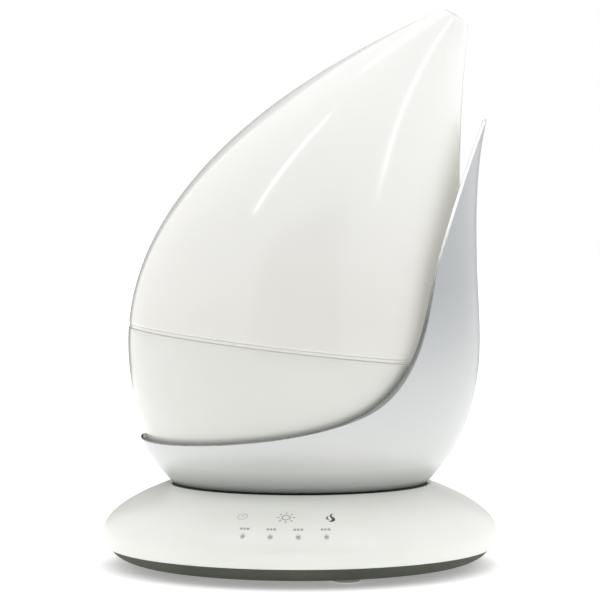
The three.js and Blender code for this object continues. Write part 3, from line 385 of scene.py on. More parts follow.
# ---------------------------------------------------------------- base cover
# The white dome: a 2.5 mm ABS shell that rolls under at its widest ring and stops at a thin shadow line
# above the pan. A sunk seat in its top takes the body's foot.
SEAM_LINE_Z = 11.5
dome = bezier((120, 20), (120, 31), (103, 41), (80, 49.5), steps=48)
dome_edge = bezier((117.6, SEAM_LINE_Z), (120, 13.7), (120, 20), steps=10)


def dome_height(radius):
    return np.interp(radius, dome[::-1, 0], dome[::-1, 1])


# Moulded ABS with a polished mould face: warm white, softly glossy, with a trace of light soaking in.
white_abs, tree, shader, place = finished("abs_white_polished", "#eeefe9", 0.32, IOR=1.53,
    Subsurface_Weight=0.08, Subsurface_Radius=(0.004, 0.004, 0.0035), Subsurface_Scale=1.0)
mottled(tree, shader, place, 60, "#edeee8", "#f0f1eb", 0.3, 0.36)
grain(tree, shader, place, 1.2, 0.012)

cover_profile = np.vstack([
    dome_edge, dome[1:-1],
    eased([tuple(dome[-2]), (80, 49.5, 1.6), (77.6, 48.6, 0.6), (77, 46, 0.8), (0, 46)])[1:],
    [[0, 43.5]], dome[::-1][4:-3] - 2.5, [[115.1, 12.2], [115.1, SEAM_LINE_Z]],
])
JACK_LINE = Matrix.Translation((0, 0, 19.5 * MM)) @ Matrix.Rotation(math.radians(-22.5), 4, "Z") \
    @ Matrix.Rotation(math.radians(-90), 4, "X")
LENS_RING = 115.6
LENS_TURNS = [math.radians(7.9 * i) for i in (-1.5, -0.5, 0.5, 1.5)]
lens_height = dome_height(LENS_RING)
lens_slope = math.atan2(dome_height(LENS_RING - 1) - lens_height, 1)


def on_dome(mesh, turn):
    """Moves a piece from the origin, where it points up, to the ring of lenses at the front."""
    mesh.transform(Matrix.Rotation(turn, 4, "Z") @ Matrix.Translation((0, -LENS_RING * MM,
        lens_height * MM))
                   @ Matrix.Rotation(math.pi / 2 - lens_slope, 4, "X"))
    return mesh


socket_hole = rod(5.55, 90, 128, around=48, ease=0)
socket_hole.transform(JACK_LINE)
cover = carved(turned(cover_profile), socket_hole)
fit("cover", cover, white_abs, "base_white", "body", "base_cover", weighted=False)

# ---------------------------------------------------------------- indicator lenses
# Four small clear polycarbonate light pipes stand a hair proud of the cover, one over each control.

# Diffusing polycarbonate: clear with a frosted milky core, so that an unlit lens reads as a grey bead.
frosted_pc, tree, shader, place = finished("polycarbonate_frosted", "#c9ccc9", 0.16, IOR=1.585,
    Transmission_Weight=0.45)
mottled(tree, shader, place, 0.8, "#c2c6c4", "#d2d4d1", 0.12, 0.22)
for i, turn in enumerate(LENS_TURNS):
    bead = turned(eased([(0, -4.2), (1.3, -4.2), (1.3, 0.1, 0.7), (0, 0.25)]), around=32)
    fit(f"lens_{i + 1}", on_dome(bead, turn), frosted_pc, "clear_plastic", "body",
        f"indicator_lens_{i + 1}")

# ---------------------------------------------------------------- printed controls
# Grey pad-printed marks on the dome: a timer dial, a sun for the night light and a plume for the mist.
# A short pair of bars under them stands for the captions.

# Pad-printing ink: a flat film of warm grey with slightly uneven cover.
grey_ink, tree, shader, place = finished("pad_print_ink_grey", "#a9aaa5", 0.5, IOR=1.5)
mottled(tree, shader, place, 0.6, "#a3a49f", "#b0b1ac", 0.45, 0.55)
dark_ink, tree, shader, place = finished("pad_print_ink_dark", "#4a4b49", 0.5, IOR=1.5)
mottled(tree, shader, place, 0.6, "#444543", "#535452", 0.45, 0.55)
pale_ink, tree, shader, place = finished("pad_print_ink_pale", "#c9cac5", 0.5, IOR=1.5)
mottled(tree, shader, place, 0.6, "#c4c5c0", "#cfd0cb", 0.45, 0.55)


def print_mark(name, strokes, turn, radius, finish):
    """Ink strokes on the dome. A stroke is a line of (across, up) points in millimetres and its widths."""
    work = bmesh.new()
    for line, width in strokes:
        line = np.array(line, float)
        closed = np.allclose(line[0], line[-1])
        steps = []
        for a, b in zip(line[:-1], line[1:]):
            parts = max(1, int(np.linalg.norm(b - a) / 0.6))
            steps.extend(a + (b - a) * k / parts for k in range(parts))
        steps.append(line[-1])
        steps = np.array(steps)
        along = np.gradient(steps, axis=0)
        if closed:
            along[0] = along[-1] = steps[1] - steps[-2]
        along /= np.linalg.norm(along, axis=1)[:, None] + 1e-9
        widths = np.interp(np.linspace(0, 1, len(steps)), np.linspace(0, 1, len(np.atleast_1d(width))),
            np.atleast_1d(width))
        side = np.stack([-along[:, 1], along[:, 0]], -1) * widths[:, None] / 2
        rows = []
        for offset in (-1, 1):
            flat = steps + offset * side
            r = radius - flat[:, 1] * math.cos(0.62)
            a = turn + flat[:, 0] / radius - math.pi / 2
            z = dome_height(r) + 0.05
            rows.append([work.verts.new(Vector(p) * MM) for p in np.stack([r * np.cos(a), r * np.sin(a),
                z], -1)])
        for k in range(len(steps) - 1):
            work.faces.new([rows[0][k], rows[0][k + 1], rows[1][k + 1], rows[1][k]])
    mesh = bpy.data.meshes.new(name)
    work.to_mesh(mesh)
    work.free()
    mesh.shade_smooth()
    return fit(name, mesh, finish, "base_white", "body", weighted=False)


def arc(radius, start, end, x=0.0, y=0.0, steps=28):
    return [(x + radius * math.cos(math.radians(start + (end - start) * k / steps)),
             y + radius * math.sin(math.radians(start + (end - start) * k / steps))) for k in range(steps + 1)]


TOUCH_RING = 103
TOUCH_STEP = math.radians(14.1)
dial = [(arc(2.8, 0, 360), 0.5), ([(0, 0), (0, 1.7)], 0.45), ([(0, 0), (1.2, -0.5)], 0.45)]
dial += [([(2.8 * math.cos(a), 2.8 * math.sin(a)), (3.7 * math.cos(a), 3.7 * math.sin(a))], 0.45)
         for a in np.radians((90, 45, 135))]
sun = [(arc(2.3, 0, 360), 0.7)]
sun += [([(3.7 * math.cos(a), 3.7 * math.sin(a)), (5.3 * math.cos(a), 5.3 * math.sin(a))], 0.75)
        for a in np.radians(np.arange(0, 360, 45))]
plume = [([(-1.6, -3.6), (-0.2, -3.9), (1.2, -2.9), (1.4, -1.2), (0.3, 0.6), (0.4, 2.2), (1.8, 3.8)],
    (0.3, 1.5, 2.0, 1.6, 1.3, 1.0, 0.3)),
         ([(-1.2, -2.6), (-2.3, -1.4), (-2.1, 0.0), (-1.2, 1.2)], (0.3, 1.0, 0.9, 0.25))]
print_mark("timer_mark", dial, -TOUCH_STEP, TOUCH_RING, pale_ink)
print_mark("light_mark", sun, 0.0, TOUCH_RING, grey_ink)
print_mark("mist_mark", plume, TOUCH_STEP, TOUCH_RING, dark_ink)
for i, turn in enumerate(LENS_TURNS):
    bars = [([(-2.8, 0.4), (-1.3, 0.4)], 1.5), ([(-0.8, 0.4), (0.5, 0.4)], 1.5),
        ([(1.0, 0.4), (2.8, 0.4)], 1.5)]
    print_mark(f"caption_{i + 1}", bars, turn, 112, grey_ink)
    # Painted shade: a thin grey ink ring round each lens stands for the shadow gap round it.
    print_mark(f"lens_shadow_ring_{i + 1}", [(arc(1.42, 0, 360, steps=36), 0.22)], turn, LENS_RING, grey_ink)

# ---------------------------------------------------------------- foot gasket, floor and body screws
# A rubber ring seals the body's foot in the base's seat, and its black lip fills the groove round it as
# painted shade for the shadow gap there. Three screws go up from the base through the white ABS floor into
# the pillars that carry the basin.

# ABS off an unpolished mould: a dull clean white with the mould's fine turning in it.
inner_abs, tree, shader, place = finished("abs_white_matt", "#e4e5e1", 0.5, IOR=1.53,
    Subsurface_Weight=0.05, Subsurface_Radius=(0.003, 0.003, 0.0026), Subsurface_Scale=1.0)
mottled(tree, shader, place, 25, "#dfe0dc", "#e7e8e4", 0.45, 0.56)
grain(tree, shader, place, 0.9, 0.02)
coat(inner_abs, "body_floor")
# Painted shade: the black lip rises to 50.2 mm, over the base's crest, and draws the dark shadow line at the
# foot.
gasket = turned(eased([(69.5, 46.35, 0.5), (77.1, 46.35, 0.4), (77.1, 48.6, 0.6), (75.9, 50.2, 0.5),
    (75.0, 49.4),
                       (75.0, 47.65, 0.4), (69.5, 47.65, 0.5)]))
fit("foot_seal_shadow_lip", gasket, nitrile, "black_rubber", "body", "foot_gasket")
body_screw_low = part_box("body_screw_1")[0].z / MM
body_screw_length = (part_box("body_screw_1")[1].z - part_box("body_screw_1")[0].z) / MM - 2
for i, (x, y, _) in enumerate(ring_of(3, 60, 65)):
    fit(f"floor_screw_{i + 1}", screw(body_screw_length, x, y, body_screw_low), zinc_plate, "steel", "body",
        f"body_screw_{i + 1}")

# ---------------------------------------------------------------- petal
# The silver-grey leaf that wraps the back and the sides: a 2.1 mm ABS shell, sprayed, with a rolled edge
# that sweeps from low on the front up to a pointed tip at the right. Its flange is clamped under the floor.
PETAL_WALL = 2.1
PETAL_TOP_Z = 269.5
PETAL_MEAN_RADIUS = 105
petal_wall = np.vstack([
    bezier((75.2, 48), (95, 66), (109.3, 95), (109.3, 136), steps=60),
    bezier((109.3, 136), (109.3, 165), (102, 225), (113.8, 272), steps=60)[1:],
])
petal_edge = np.vstack([
    bezier((0, PETAL_TOP_Z), (7, 270), (23, 234), (36.8, 184.5), steps=80),
    bezier((36.8, 184.5), (42.8, 160.5), (46.3, 110.5), (68.2, 94.5), steps=80)[1:],
    bezier((68.2, 94.5), (77.5, 86), (109.2, 73.1), (180, 77.5), steps=80)[1:],
])


def petal_radius(height):
    return np.interp(height, petal_wall[:, 1], petal_wall[:, 0])


def evened(values, reach):
    """Values round the leaf, each the mean of itself and its neighbours within reach."""
    wrapped = np.concatenate([values[-reach:], values, values[:reach]])
    return np.convolve(wrapped, np.ones(2 * reach + 1) / (2 * reach + 1), "valid")


# The columns stand at equal steps along the edge, so that they crowd where it climbs.
columns = 540
fine = np.linspace(0, 180, 3601)
climb = np.gradient(np.interp(fine, petal_edge[:, 0], petal_edge[:, 1]))
along = np.cumsum(np.hypot(climb, math.radians(fine[1]) * PETAL_MEAN_RADIUS))
front = np.interp(np.linspace(along[0], along[-1], columns // 2 + 1), along, fine)
angle = np.radians(np.concatenate([front, 360 - front[-2:0:-1]]))
degrees = np.degrees(angle)
degrees = np.minimum(degrees, 360 - degrees)
edge_top = np.interp(degrees, petal_edge[:, 0], petal_edge[:, 1])
edge_top = evened(edge_top, 3)
edge_top += PETAL_TOP_Z - edge_top.max()
wrapped = np.concatenate([angle[-1:] - 2 * math.pi, angle, angle[:1] + 2 * math.pi])
edge_slope = np.gradient(np.concatenate([edge_top[-1:], edge_top, edge_top[:1]]),
    wrapped)[1:-1] / petal_radius(edge_top)
lead = evened(evened(np.hypot(1, edge_slope), 6), 6)
trim = 0.8 + 1.7 * np.exp(-((degrees - 56) / 12) ** 2)


def leaf(rows):
    """Rings of the leaf from radius and height, one value for each column or one for all."""
    return [np.stack([r * np.cos(angle), r * np.sin(angle), np.broadcast_to(z, angle.shape)], -1) for r,
        z in rows]


rows = [(np.full(columns, 75.3), 48.0), (np.full(columns, 75.3), 50.2), (petal_radius(50.4) - 0.9, 50.25),
        (petal_radius(50.6) - 0.25, 50.4)]
for s in np.linspace(0, 1, 56):
    z = 50.8 + (edge_top - (trim + 0.12) * lead - 50.8) * s
    rows.append((petal_radius(z), z))
for inset in (0.15, 1.95):
    z = edge_top - trim * lead
    rows.append((petal_radius(z) - inset, z))
for s in np.linspace(1, 0, 56):
    z = 49.7 + (edge_top - (trim + 0.12) * lead - 49.7) * s
    rows.append((petal_radius(z) - PETAL_WALL, z))
rows += [(np.full(columns, r), z) for r, z in ((58.4, 49.7), (58, 49.4), (58, 48.3), (58.4, 48))]
petal_skin = skin(leaf([(np.broadcast_to(r, angle.shape), z) for r, z in rows]))

# The rolled edge: a bead that is widest where the leaf turns up round the right side of the shell.
bead = [(0.0, trim), (0.0, 0.5 + 0 * trim), (0.1, 0.3 + 0 * trim), (0.35, 0.1 + 0 * trim),
    (0.7, 0 * trim), (1.4, 0 * trim),
        (1.75, 0.1 + 0 * trim), (2.0, 0.3 + 0 * trim), (PETAL_WALL, 0.5 + 0 * trim), (PETAL_WALL, trim)]
bead_skin = skin(leaf([(petal_radius(edge_top - drop * lead) - inset, edge_top - drop * lead) for inset,
    drop in bead]))


def risen(tree, shader, place, low, high, colour):
    """Turns the base colour towards another one between two heights in millimetres."""
    height = add(tree, "ShaderNodeSeparateXYZ", {"Vector": place})
    rise = add(tree, "ShaderNodeMapRange",
               {"Value": height.outputs["Z"], "From Min": low * MM, "From Max": high * MM})
    below = shader.inputs["Base Color"].links[0].from_socket
    film = add(tree, "ShaderNodeMix", {"Factor": rise.outputs["Result"], 6: below, 7: linear(colour)},
               data_type="RGBA")
    tree.links.new(film.outputs[2], shader.inputs["Base Color"])


# Silver-grey lacquer on ABS: a pale, cool satin with a very fine metallic flake under the clear film. The
# colour is painted darker up the leaf, as painted shade for its darker reflections, and painted darker still
# in the last few millimetres above the foot, as painted shade where the leaf meets the base. Flakes are about
# 0.05 mm, drawn at 0.35 mm so that they show. The inside of the leaf is left unsprayed.
silver_lacquer_painted_shade, tree, shader, place = finished("lacquer_silver_grey_painted_shade", "#c2c5c6", 0.32, IOR=1.5,
    Metallic=0.55, Coat_Weight=0.1, Coat_Roughness=0.3)
mottled(tree, shader, place, 70, "#d3d5d3", "#d8d9d7", 0.3, 0.36)
# Painted shade: the colour darkens between 60 and 170 mm up, for the darker reflections on the upper leaf.
risen(tree, shader, place, 60, 170, "#b0b3b5")
# Painted shade: the colour darkens over the last 15 mm down to the foot, where the leaf meets the base.
risen(tree, shader, place, 64, 49.5, "#a4a8a5")
grain(tree, shader, place, 0.35, 0.004)
fit("petal_leaf", petal_skin, silver_lacquer_painted_shade, "petal_grey", "body", "petal", weighted=False)
petal_skin.materials.append(white_abs)
for face in petal_skin.polygons:
    spot = face.center / MM
    if math.hypot(spot.x, spot.y) < petal_radius(spot.z) - 1.2:
        face.material_index = 1

# Metallised edge bead: a satin silver painted darker, as painted shade for the dark line along the edge,
# that turns from grey to bright as it runs up the leaf, as a painted highlight.
edge_silver_painted_shade_highlight, tree, shader, place = finished("silver_edge_painted_shade_highlight", "#868988", 0.28, Metallic=0.9)
mottled(tree, shader, place, 12, "#828584", "#8c8f8e", 0.24, 0.34)
# Painted highlight: the colour turns bright between 150 and 215 mm up.
risen(tree, shader, place, 150, 215, "#f2f3f3")
fit("petal_edge", bead_skin, edge_silver_painted_shade_highlight, "petal_grey", "body", weighted=False)

# ---------------------------------------------------------------- front shell
# The white lower front of the bud: a 2.4 mm gloss ABS shell inside the leaf. Its top edge follows the
# slanted seam and stops just short of the tank's flange.
BODY_WALL = 2.4
seam_left = np.array([-103.8, 146.7])
seam_right = np.array([103.0, 123.2])
body_left = bezier((-72.3, 50.05), (-96.4, 66.4), (-107, 113.8), tuple(seam_left), steps=200)
body_right = bezier((72, 50.05), (91.5, 67.5), (103.4, 95), tuple(seam_right), steps=200)
seam_along = (seam_right - seam_left) / np.linalg.norm(seam_right - seam_left)
seam_up = np.array([-seam_along[1], seam_along[0]])


def along_curve(curve, t):
    spread = np.linspace(0, 1, len(curve))
    return np.stack([np.interp(t, spread, curve[:, 0]), np.interp(t, spread, curve[:, 1])], -1)


def bud_ring(left_curve, right_curve, t, inset, angle):
    """The points of the bud's rings: t is the way up both outlines, and inset draws the ring in."""
    left, right = along_curve(left_curve, t), along_curve(right_curve, t)
    middle, span = (left + right) / 2, right - left
    half = np.linalg.norm(span, axis=-1) / 2
    reach = (half - inset) * np.cos(angle)
    spot = middle + span / (2 * half[..., None]) * reach[..., None]
    return np.stack([spot[..., 0], (half - inset) * np.sin(angle), spot[..., 1]], -1)


def above_seam(points):
    """Signed distance of points from the plane of the seam."""
    return (points[..., 0] - seam_left[0]) * seam_up[0] + (points[..., 2] - seam_left[1]) * seam_up[1]


bud_columns = 288
bud_angle = np.linspace(0, 2 * math.pi, bud_columns, endpoint=False)


def seam_reach(distance, inset):
    """For each column, the way up the body's outline at which it comes this far under the seam."""
    low, high = np.full(bud_columns, 0.5), np.ones(bud_columns)
    for _ in range(30):
        t = (low + high) / 2
        over = above_seam(bud_ring(body_left, body_right, t, np.full(bud_columns, inset),
            bud_angle)) > -distance
        low, high = np.where(over, low, t), np.where(over, t, high)
    return low


shell_top = 2.3
rings = []
for s in np.linspace(0, 1, 60):
    rings.append((s * seam_reach(shell_top + 0.9, 0.0), 0.0))
for drop, inset in ((0.42, 0.1), (0.13, 0.4), (0, 0.85), (0, BODY_WALL - 0.5)):
    rings.append((seam_reach(shell_top + drop, inset), inset))
for s in np.linspace(1, 0, 60):
    rings.append((s * seam_reach(shell_top + 0.4, BODY_WALL), BODY_WALL))
shell_skin = skin([bud_ring(body_left, body_right, t, np.full(bud_columns, inset), bud_angle) for t,
    inset in rings])

# High-gloss ABS: white with a mirror-like moulded face that shows soft reflections.
gloss_abs, tree, shader, place = finished("abs_white_high_gloss", "#dddfd8", 0.16, IOR=1.54,
    Subsurface_Weight=0.06, Subsurface_Radius=(0.004, 0.004, 0.0035), Subsurface_Scale=1.0)
mottled(tree, shader, place, 80, "#dcddd7", "#dfe0da", 0.14, 0.2)
grain(tree, shader, place, 3.0, 0.01)
fit("shell", shell_skin, gloss_abs, "white_gloss", "body", "front_shell", weighted=False)

# ---------------------------------------------------------------- basin
# The dish under the tank: matt white ABS with a rolled rim, a post for the float, a pin that opens the
# filler valve, a boss round the atomizer, and holes for the air tower and the night light.
dish = turned(eased([
    (0, 83.5), (84, 83.5, 2), (88, 86.5, 2), (97.5, 116.5, 0.8), (99.4, 116.5, 0.6), (99.4, 118.5, 0.8),
    (95.3, 118.5, 1.2), (85.8, 88, 2.5), (82.8, 86, 2), (0, 86),
], steps=5))
dish = carved(dish, rod(11, 80, 90, 0, 38, 64, 0), rod(9.2, 80, 92, 58, 0, 64, 0),
    rod(10, 80, 90, 12, 0, 64, 0))
boss = turned(eased([(9.2, 79), (16, 76.5), (16, 89, 0.8), (9.2, 89, 1.6)]), 58, 0, 72)
float_post = rod(4.5, 85.5, 107, 0, -52, 40, 0.5)
valve_pin = turned(eased([(0, 85.5), (6, 85.5), (4.6, 87, 1), (4, 91.65, 0.7), (0, 91.65)]), -42, 0, 40)
fit("basin_dish", dish, inner_abs, "inner_white", "body", "basin", weighted=False)
fit("basin_posts", joined(boss, float_post, valve_pin), inner_abs, "inner_white", "body")

# ---------------------------------------------------------------- atomizer
# A ceramic disc in a silicone ring turns the water to mist. An aluminium plate and three screws clamp it
# under the basin, with the driver board and its heat sink below.

# Cast silicone: translucent pale grey, soft gloss.
cast_silicone, tree, shader, place = finished("silicone_cast_grey", "#c4c6c8", 0.38, IOR=1.41,
    Subsurface_Weight=0.25, Subsurface_Radius=(0.003, 0.003, 0.003), Subsurface_Scale=1.0)
mottled(tree, shader, place, 5, "#bfc1c4", "#cacccd", 0.32, 0.45)

# Fired lead-zirconate ceramic with a silver electrode: fine grained, warm buff.
ceramic_buff, tree, shader, place = finished("ceramic_buff_fired", "#d7c8a0", 0.4, IOR=1.8)
mottled(tree, shader, place, 1.5, "#cfc099", "#ddcfaa", 0.34, 0.5)
grain(tree, shader, place, 0.4, 0.02)

# Bare aluminium as stamped or extruded: pale metal with fine drawn lines.
bare_aluminium, tree, shader, place = finished("aluminium_bare_drawn", "#c8cacd", 0.36, Metallic=1.0)
mottled(tree, shader, place, 3, "#c0c2c6", "#d0d2d4", 0.3, 0.44)
drawn = add(tree, "ShaderNodeTexWave", {"Vector": place, "Scale": 1 / (1.6 * MM), "Distortion": 1.0},
    bands_direction="Y")
lines = add(tree, "ShaderNodeBump", {"Height": drawn.outputs["Fac"], "Distance": 0.004 * MM})
tree.links.new(lines.outputs["Normal"], shader.inputs["Normal"])

disc_low, disc_high = (corner.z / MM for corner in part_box("atomizer_disc"))
disc = turned(eased([(0, disc_low), (10, disc_low, 0.2), (10, disc_high, 0.2), (7.2, disc_high),
    (7.0, disc_high - 0.15), (0, disc_high - 0.15)]), 58, 0, 72)
fit("mist_disc", disc, ceramic_buff, "ceramic", "body", "atomizer_disc")
ring_low, ring_high = (corner.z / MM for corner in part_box("atomizer_gasket"))
seal = turned(eased([(8.8, ring_low, 0.3), (12.6, ring_low, 0.3), (12.6, ring_high, 0.4),
    (8.8, ring_high, 0.5),
                     (8.8, disc_high + 0.2), (10.4, disc_high + 0.2), (10.4, disc_low - 0.2),
                     (8.8, disc_low - 0.2)]), 58, 0, 72)
fit("disc_seal", seal, cast_silicone, "silicone", "body", "atomizer_gasket")
coat(bare_aluminium, "atomizer_clamp", "heat_sink")
coat(zinc_plate, "clamp_screw_1", "clamp_screw_2", "clamp_screw_3")
coat(solder_mask, "driver_board")
for name in ("atomizer_clamp", "heat_sink", "driver_board"):
    soft = nodes[name].modifiers.new("eased edges", "BEVEL")
    soft.width = 0.2 * MM
    soft.segments = 2
    soft.limit_method = "ANGLE"

# ---------------------------------------------------------------- fan, duct and air tower
# A 40 mm black nylon fan blows up a white duct into the tower, whose splash cap on three legs keeps
# water out of the air path.
coat(black_nylon, "fan_frame", "fan_rotor")
for name in ("fan_frame", "fan_rotor"):
    soft = nodes[name].modifiers.new("eased edges", "BEVEL")
    soft.width = 0.3 * MM
    soft.segments = 2
    soft.limit_method = "ANGLE"
coat(inner_abs, "air_duct")
tower = turned(eased([(11, 86.35), (16, 86.35, 0.5), (16, 88, 0.8), (13, 89, 1.5), (13, 106, 0.8),
    (11, 106, 0.8)]), 0, 38, 96)
fit("tower", tower, inner_abs, "inner_white", "body", "air_tower")
cap_ring = turned(eased([(13.35, 99, 0.3), (15, 99, 0.5), (15, 102.5, 0.5), (13.35, 102.5, 0.3)]), 0, 38,
    96)
cap_lid = turned(eased([(0, 109.6), (15, 108.8, 0.4), (15, 110, 0.7), (10, 110.5), (0, 111)]), 0, 38, 96)
legs = [bar(x, y, 1.2, 4, 102, 109.4, a, 0.3) for x, y, a in ring_of(3, 30, 14.2, 0, 38)]
fit("splash_hood", joined(cap_ring, cap_lid, *legs), inner_abs, "inner_white", "body", "splash_cap")

# ---------------------------------------------------------------- night light and float
# A clear window in the basin's floor lets six LEDs light the tank. A foam ring with a magnet rises on its
# post as the water comes up, and a reed switch under the floor feels it.

# Clear polycarbonate with a polished face: water-clear, sharp reflections, faintly grey in the edge.
clear_pc, tree, shader, place = finished("polycarbonate_clear", "#eef2f2", 0.05, IOR=1.585,
    Transmission_Weight=0.85)
mottled(tree, shader, place, 8, "#eaf0f0", "#f1f4f4", 0.03, 0.08)

# Closed-cell polyethylene foam: cream, dry, with cells about 0.4 mm across cut open at the surface.
cell_foam, tree, shader, place = finished("polyethylene_foam_cream", "#e2ddcb", 0.85, IOR=1.5,
    Sheen_Weight=0.2)
cells = add(tree, "ShaderNodeTexVoronoi", {"Vector": place, "Scale": 1 / (0.7 * MM)})
tint = add(tree, "ShaderNodeValToRGB", {"Fac": cells.outputs["Distance"]})
tint.color_ramp.elements[0].color = linear("#e6e1d0")
tint.color_ramp.elements[1].color = linear("#cfc8b3")
tree.links.new(tint.outputs["Color"], shader.inputs["Base Color"])
pores = add(tree, "ShaderNodeBump", {"Height": cells.outputs["Distance"], "Distance": 0.12 * MM},
    invert=True)
tree.links.new(pores.outputs["Normal"], shader.inputs["Normal"])

# Sintered ferrite: dark grey, faintly rough, with a dull metallic glint.
ferrite, tree, shader, place = finished("ferrite_sintered", "#4a4a4d", 0.5, IOR=2.0, Metallic=0.4)
mottled(tree, shader, place, 1.5, "#434346", "#525256", 0.42, 0.6)
grain(tree, shader, place, 0.4, 0.02)

window = turned(eased([(0, 82), (9.65, 82, 0.3), (9.65, 86.35), (13, 86.35, 0.2), (13, 87.4, 0.6),
    (9.5, 88.6, 0.8), (0, 89.6)]), 12, 0, 72)
fit("light_lens", window, clear_pc, "clear_plastic", "body", "light_window")
coat(solder_mask, "light_board")
coat(clear_pc, "reed_switch")
clip = turned(eased([(0, 107.35), (4.85, 107.35), (4.85, 105.2, 0.2), (7.1, 105.2, 0.5),
    (6.7, 108.6, 0.6), (0, 108.8)]), 0, -52, 48)
fit("float_stop", clip, inner_abs, "inner_white", "body", "float_clip")
raft = turned(eased([(5.3, 86.35, 0.3), (12.5, 86.35), (14, 87.85, 1.2), (14, 94.85, 1.2),
    (12.5, 96.35, 0.8),
                     (10.5, 96.35, 0.4), (10.5, 92.35), (5.3, 92.35)]), 0, -52, 72)
fit("float_raft", raft, cell_foam, "foam", "float", "float_ring")
magnet_ring = turned(eased([(5.3, 92.7, 0.2), (10.15, 92.7, 0.2), (10.15, 95.85, 0.3),
    (5.3, 95.85, 0.3)]), 0, -52, 64)
fit("float_core", magnet_ring, ferrite, "magnet", "float", "float_magnet")

# ---------------------------------------------------------------- tank
# The milky upper bud lifts off as one: a blown polypropylene shell that leans over to an open slanted tip,
# welded to a floor with a thin flange, the filler neck, the mist collar and the tube up to the tip.
TANK_WALL, TANK_WALL_TIP = 2.8, 2.0
tip_right = np.array([101.8, 327.0])
tip_left = np.array([85.3, 336.3])
tank_left = bezier(tuple(seam_left), (-96.8, 228), (-11, 294.6), tuple(tip_left), steps=200)
tank_right = bezier(tuple(seam_right), (96, 206), (94.8, 253), tuple(tip_right), steps=200)


def tank_ring(t, inset):
    return bud_ring(tank_left, tank_right, np.full(bud_columns, float(t)),
        np.full(bud_columns, float(inset)), bud_angle)


tank_wall = lambda t: TANK_WALL + (TANK_WALL_TIP - TANK_WALL) * t
rings = [tank_ring(0, 0.9), tank_ring(0.0009, 0.35), tank_ring(0.0028, 0.06)]
rings += [tank_ring(t, 0) for t in np.linspace(0.005, 0.996, 110)]
rings += [tank_ring(0.998, 0.08), tank_ring(0.9994, 0.35), tank_ring(1, 0.75), tank_ring(1, 1.25),
    tank_ring(0.9994, 1.65), tank_ring(0.998, 1.92)]
rings += [tank_ring(t, tank_wall(t)) for t in np.linspace(0.996, 0.004, 110)]
rings += [tank_ring(0.0015, TANK_WALL - 0.1), tank_ring(0, TANK_WALL - 0.6)]

# Milky polypropylene: white, cloudy and softly glossy. Its emission is painted light, a glow that keeps
# its shaded parts from going dark, and its colour is painted whiter towards the tip, as painted light.
milky_pp_painted_glow, tree, shader, place = finished("polypropylene_milky_painted_glow", "#d8d7d2", 0.12, IOR=1.49,
    Transmission_Weight=0.06, Subsurface_Weight=0.2, Subsurface_Radius=(0.003, 0.003, 0.0028),
    Subsurface_Scale=1.0,
    Emission_Color=linear("#fbfaf6"), Emission_Strength=0.15)
mottled(tree, shader, place, 90, "#d3d2cd", "#d7d6d1", 0.1, 0.16)
# Painted light: the colour turns whiter between 150 and 290 mm up.
risen(tree, shader, place, 150, 290, "#e6e6e4")
grain(tree, shader, place, 6.0, 0.015)
fit("tank_bud", skin(rings), milky_pp_painted_glow, "tank_plastic", "tank", "tank_shell", weighted=False)

# The welded floor: a thin flange in the seam and a deep cup that hangs in the basin.
CUP_RADIUS, CUP_WALL = 93.0, 2.4


def seam_plane(x, y, drop):
    """Points on the plane this far under the seam, straight above or below the given ones."""
    z = seam_left[1] + ((-drop) - (x - seam_left[0]) * seam_up[0]) / seam_up[1]
    return np.stack([x, y, z], -1)


def cup_ring(radius, height):
    return np.stack([radius * np.cos(bud_angle), radius * np.sin(bud_angle),
        np.full(bud_columns, height)], -1)


def flange_ring(inset, drop):
    rim = bud_ring(body_left, body_right, np.ones(bud_columns), np.full(bud_columns, inset), bud_angle)
    return rim - np.array([seam_up[0], 0, seam_up[1]]) * drop


inner = CUP_RADIUS - CUP_WALL
rings = [cup_ring(r, z) for r, z in ((0, 112), (88, 112), (90.5, 112.3), (92.3, 113.4), (93, 115.5))]
rings += [seam_plane(CUP_RADIUS * np.cos(bud_angle), CUP_RADIUS * np.sin(bud_angle), 2.8),
          seam_plane((CUP_RADIUS + 0.8) * np.cos(bud_angle), (CUP_RADIUS + 0.8) * np.sin(bud_angle), 2.15),
          flange_ring(1.1, 2.15), flange_ring(0.7, 1.9), flange_ring(0.65, 1.2), flange_ring(0.7, 0.4),
          flange_ring(1.1, 0.12),
          seam_plane(inner * np.cos(bud_angle), inner * np.sin(bud_angle), 0.12)]
rings += [cup_ring(r, z) for r, z in ((inner, 118), (inner - 0.8, 115.8), (inner - 3, 114.4), (0, 114.4))]
floor_cup = carved(skin(rings, loop=False), rod(23.4, 105, 120, -42, 0, 72, 0),
    rod(14.5, 105, 120, 58, 0, 72, 0))
fit("tank_base", floor_cup, milky_pp_painted_glow, "tank_plastic", "tank", "tank_floor", weighted=False)

neck = [(23.4, 98, 0.5), (26, 98, 0.6)]
for k in range(3):
    neck += [(26, 99.4 + 3.4 * k, 0.2), (26.35, 100.2 + 3.4 * k, 0.3), (26, 101.0 + 3.4 * k, 0.2)]
neck += [(26, 111.65), (23.4, 111.65)]
fit("neck", turned(eased(neck), -42, 0, 96), milky_pp_painted_glow, "tank_plastic", "tank", "filler_neck")
collar = turned(eased([(14.5, 103, 0.8), (19.5, 103, 0.8), (19.5, 111.65), (14.5, 111.65)]), 58, 0, 96)
fit("collar", collar, milky_pp_painted_glow, "tank_plastic", "tank", "mist_collar")

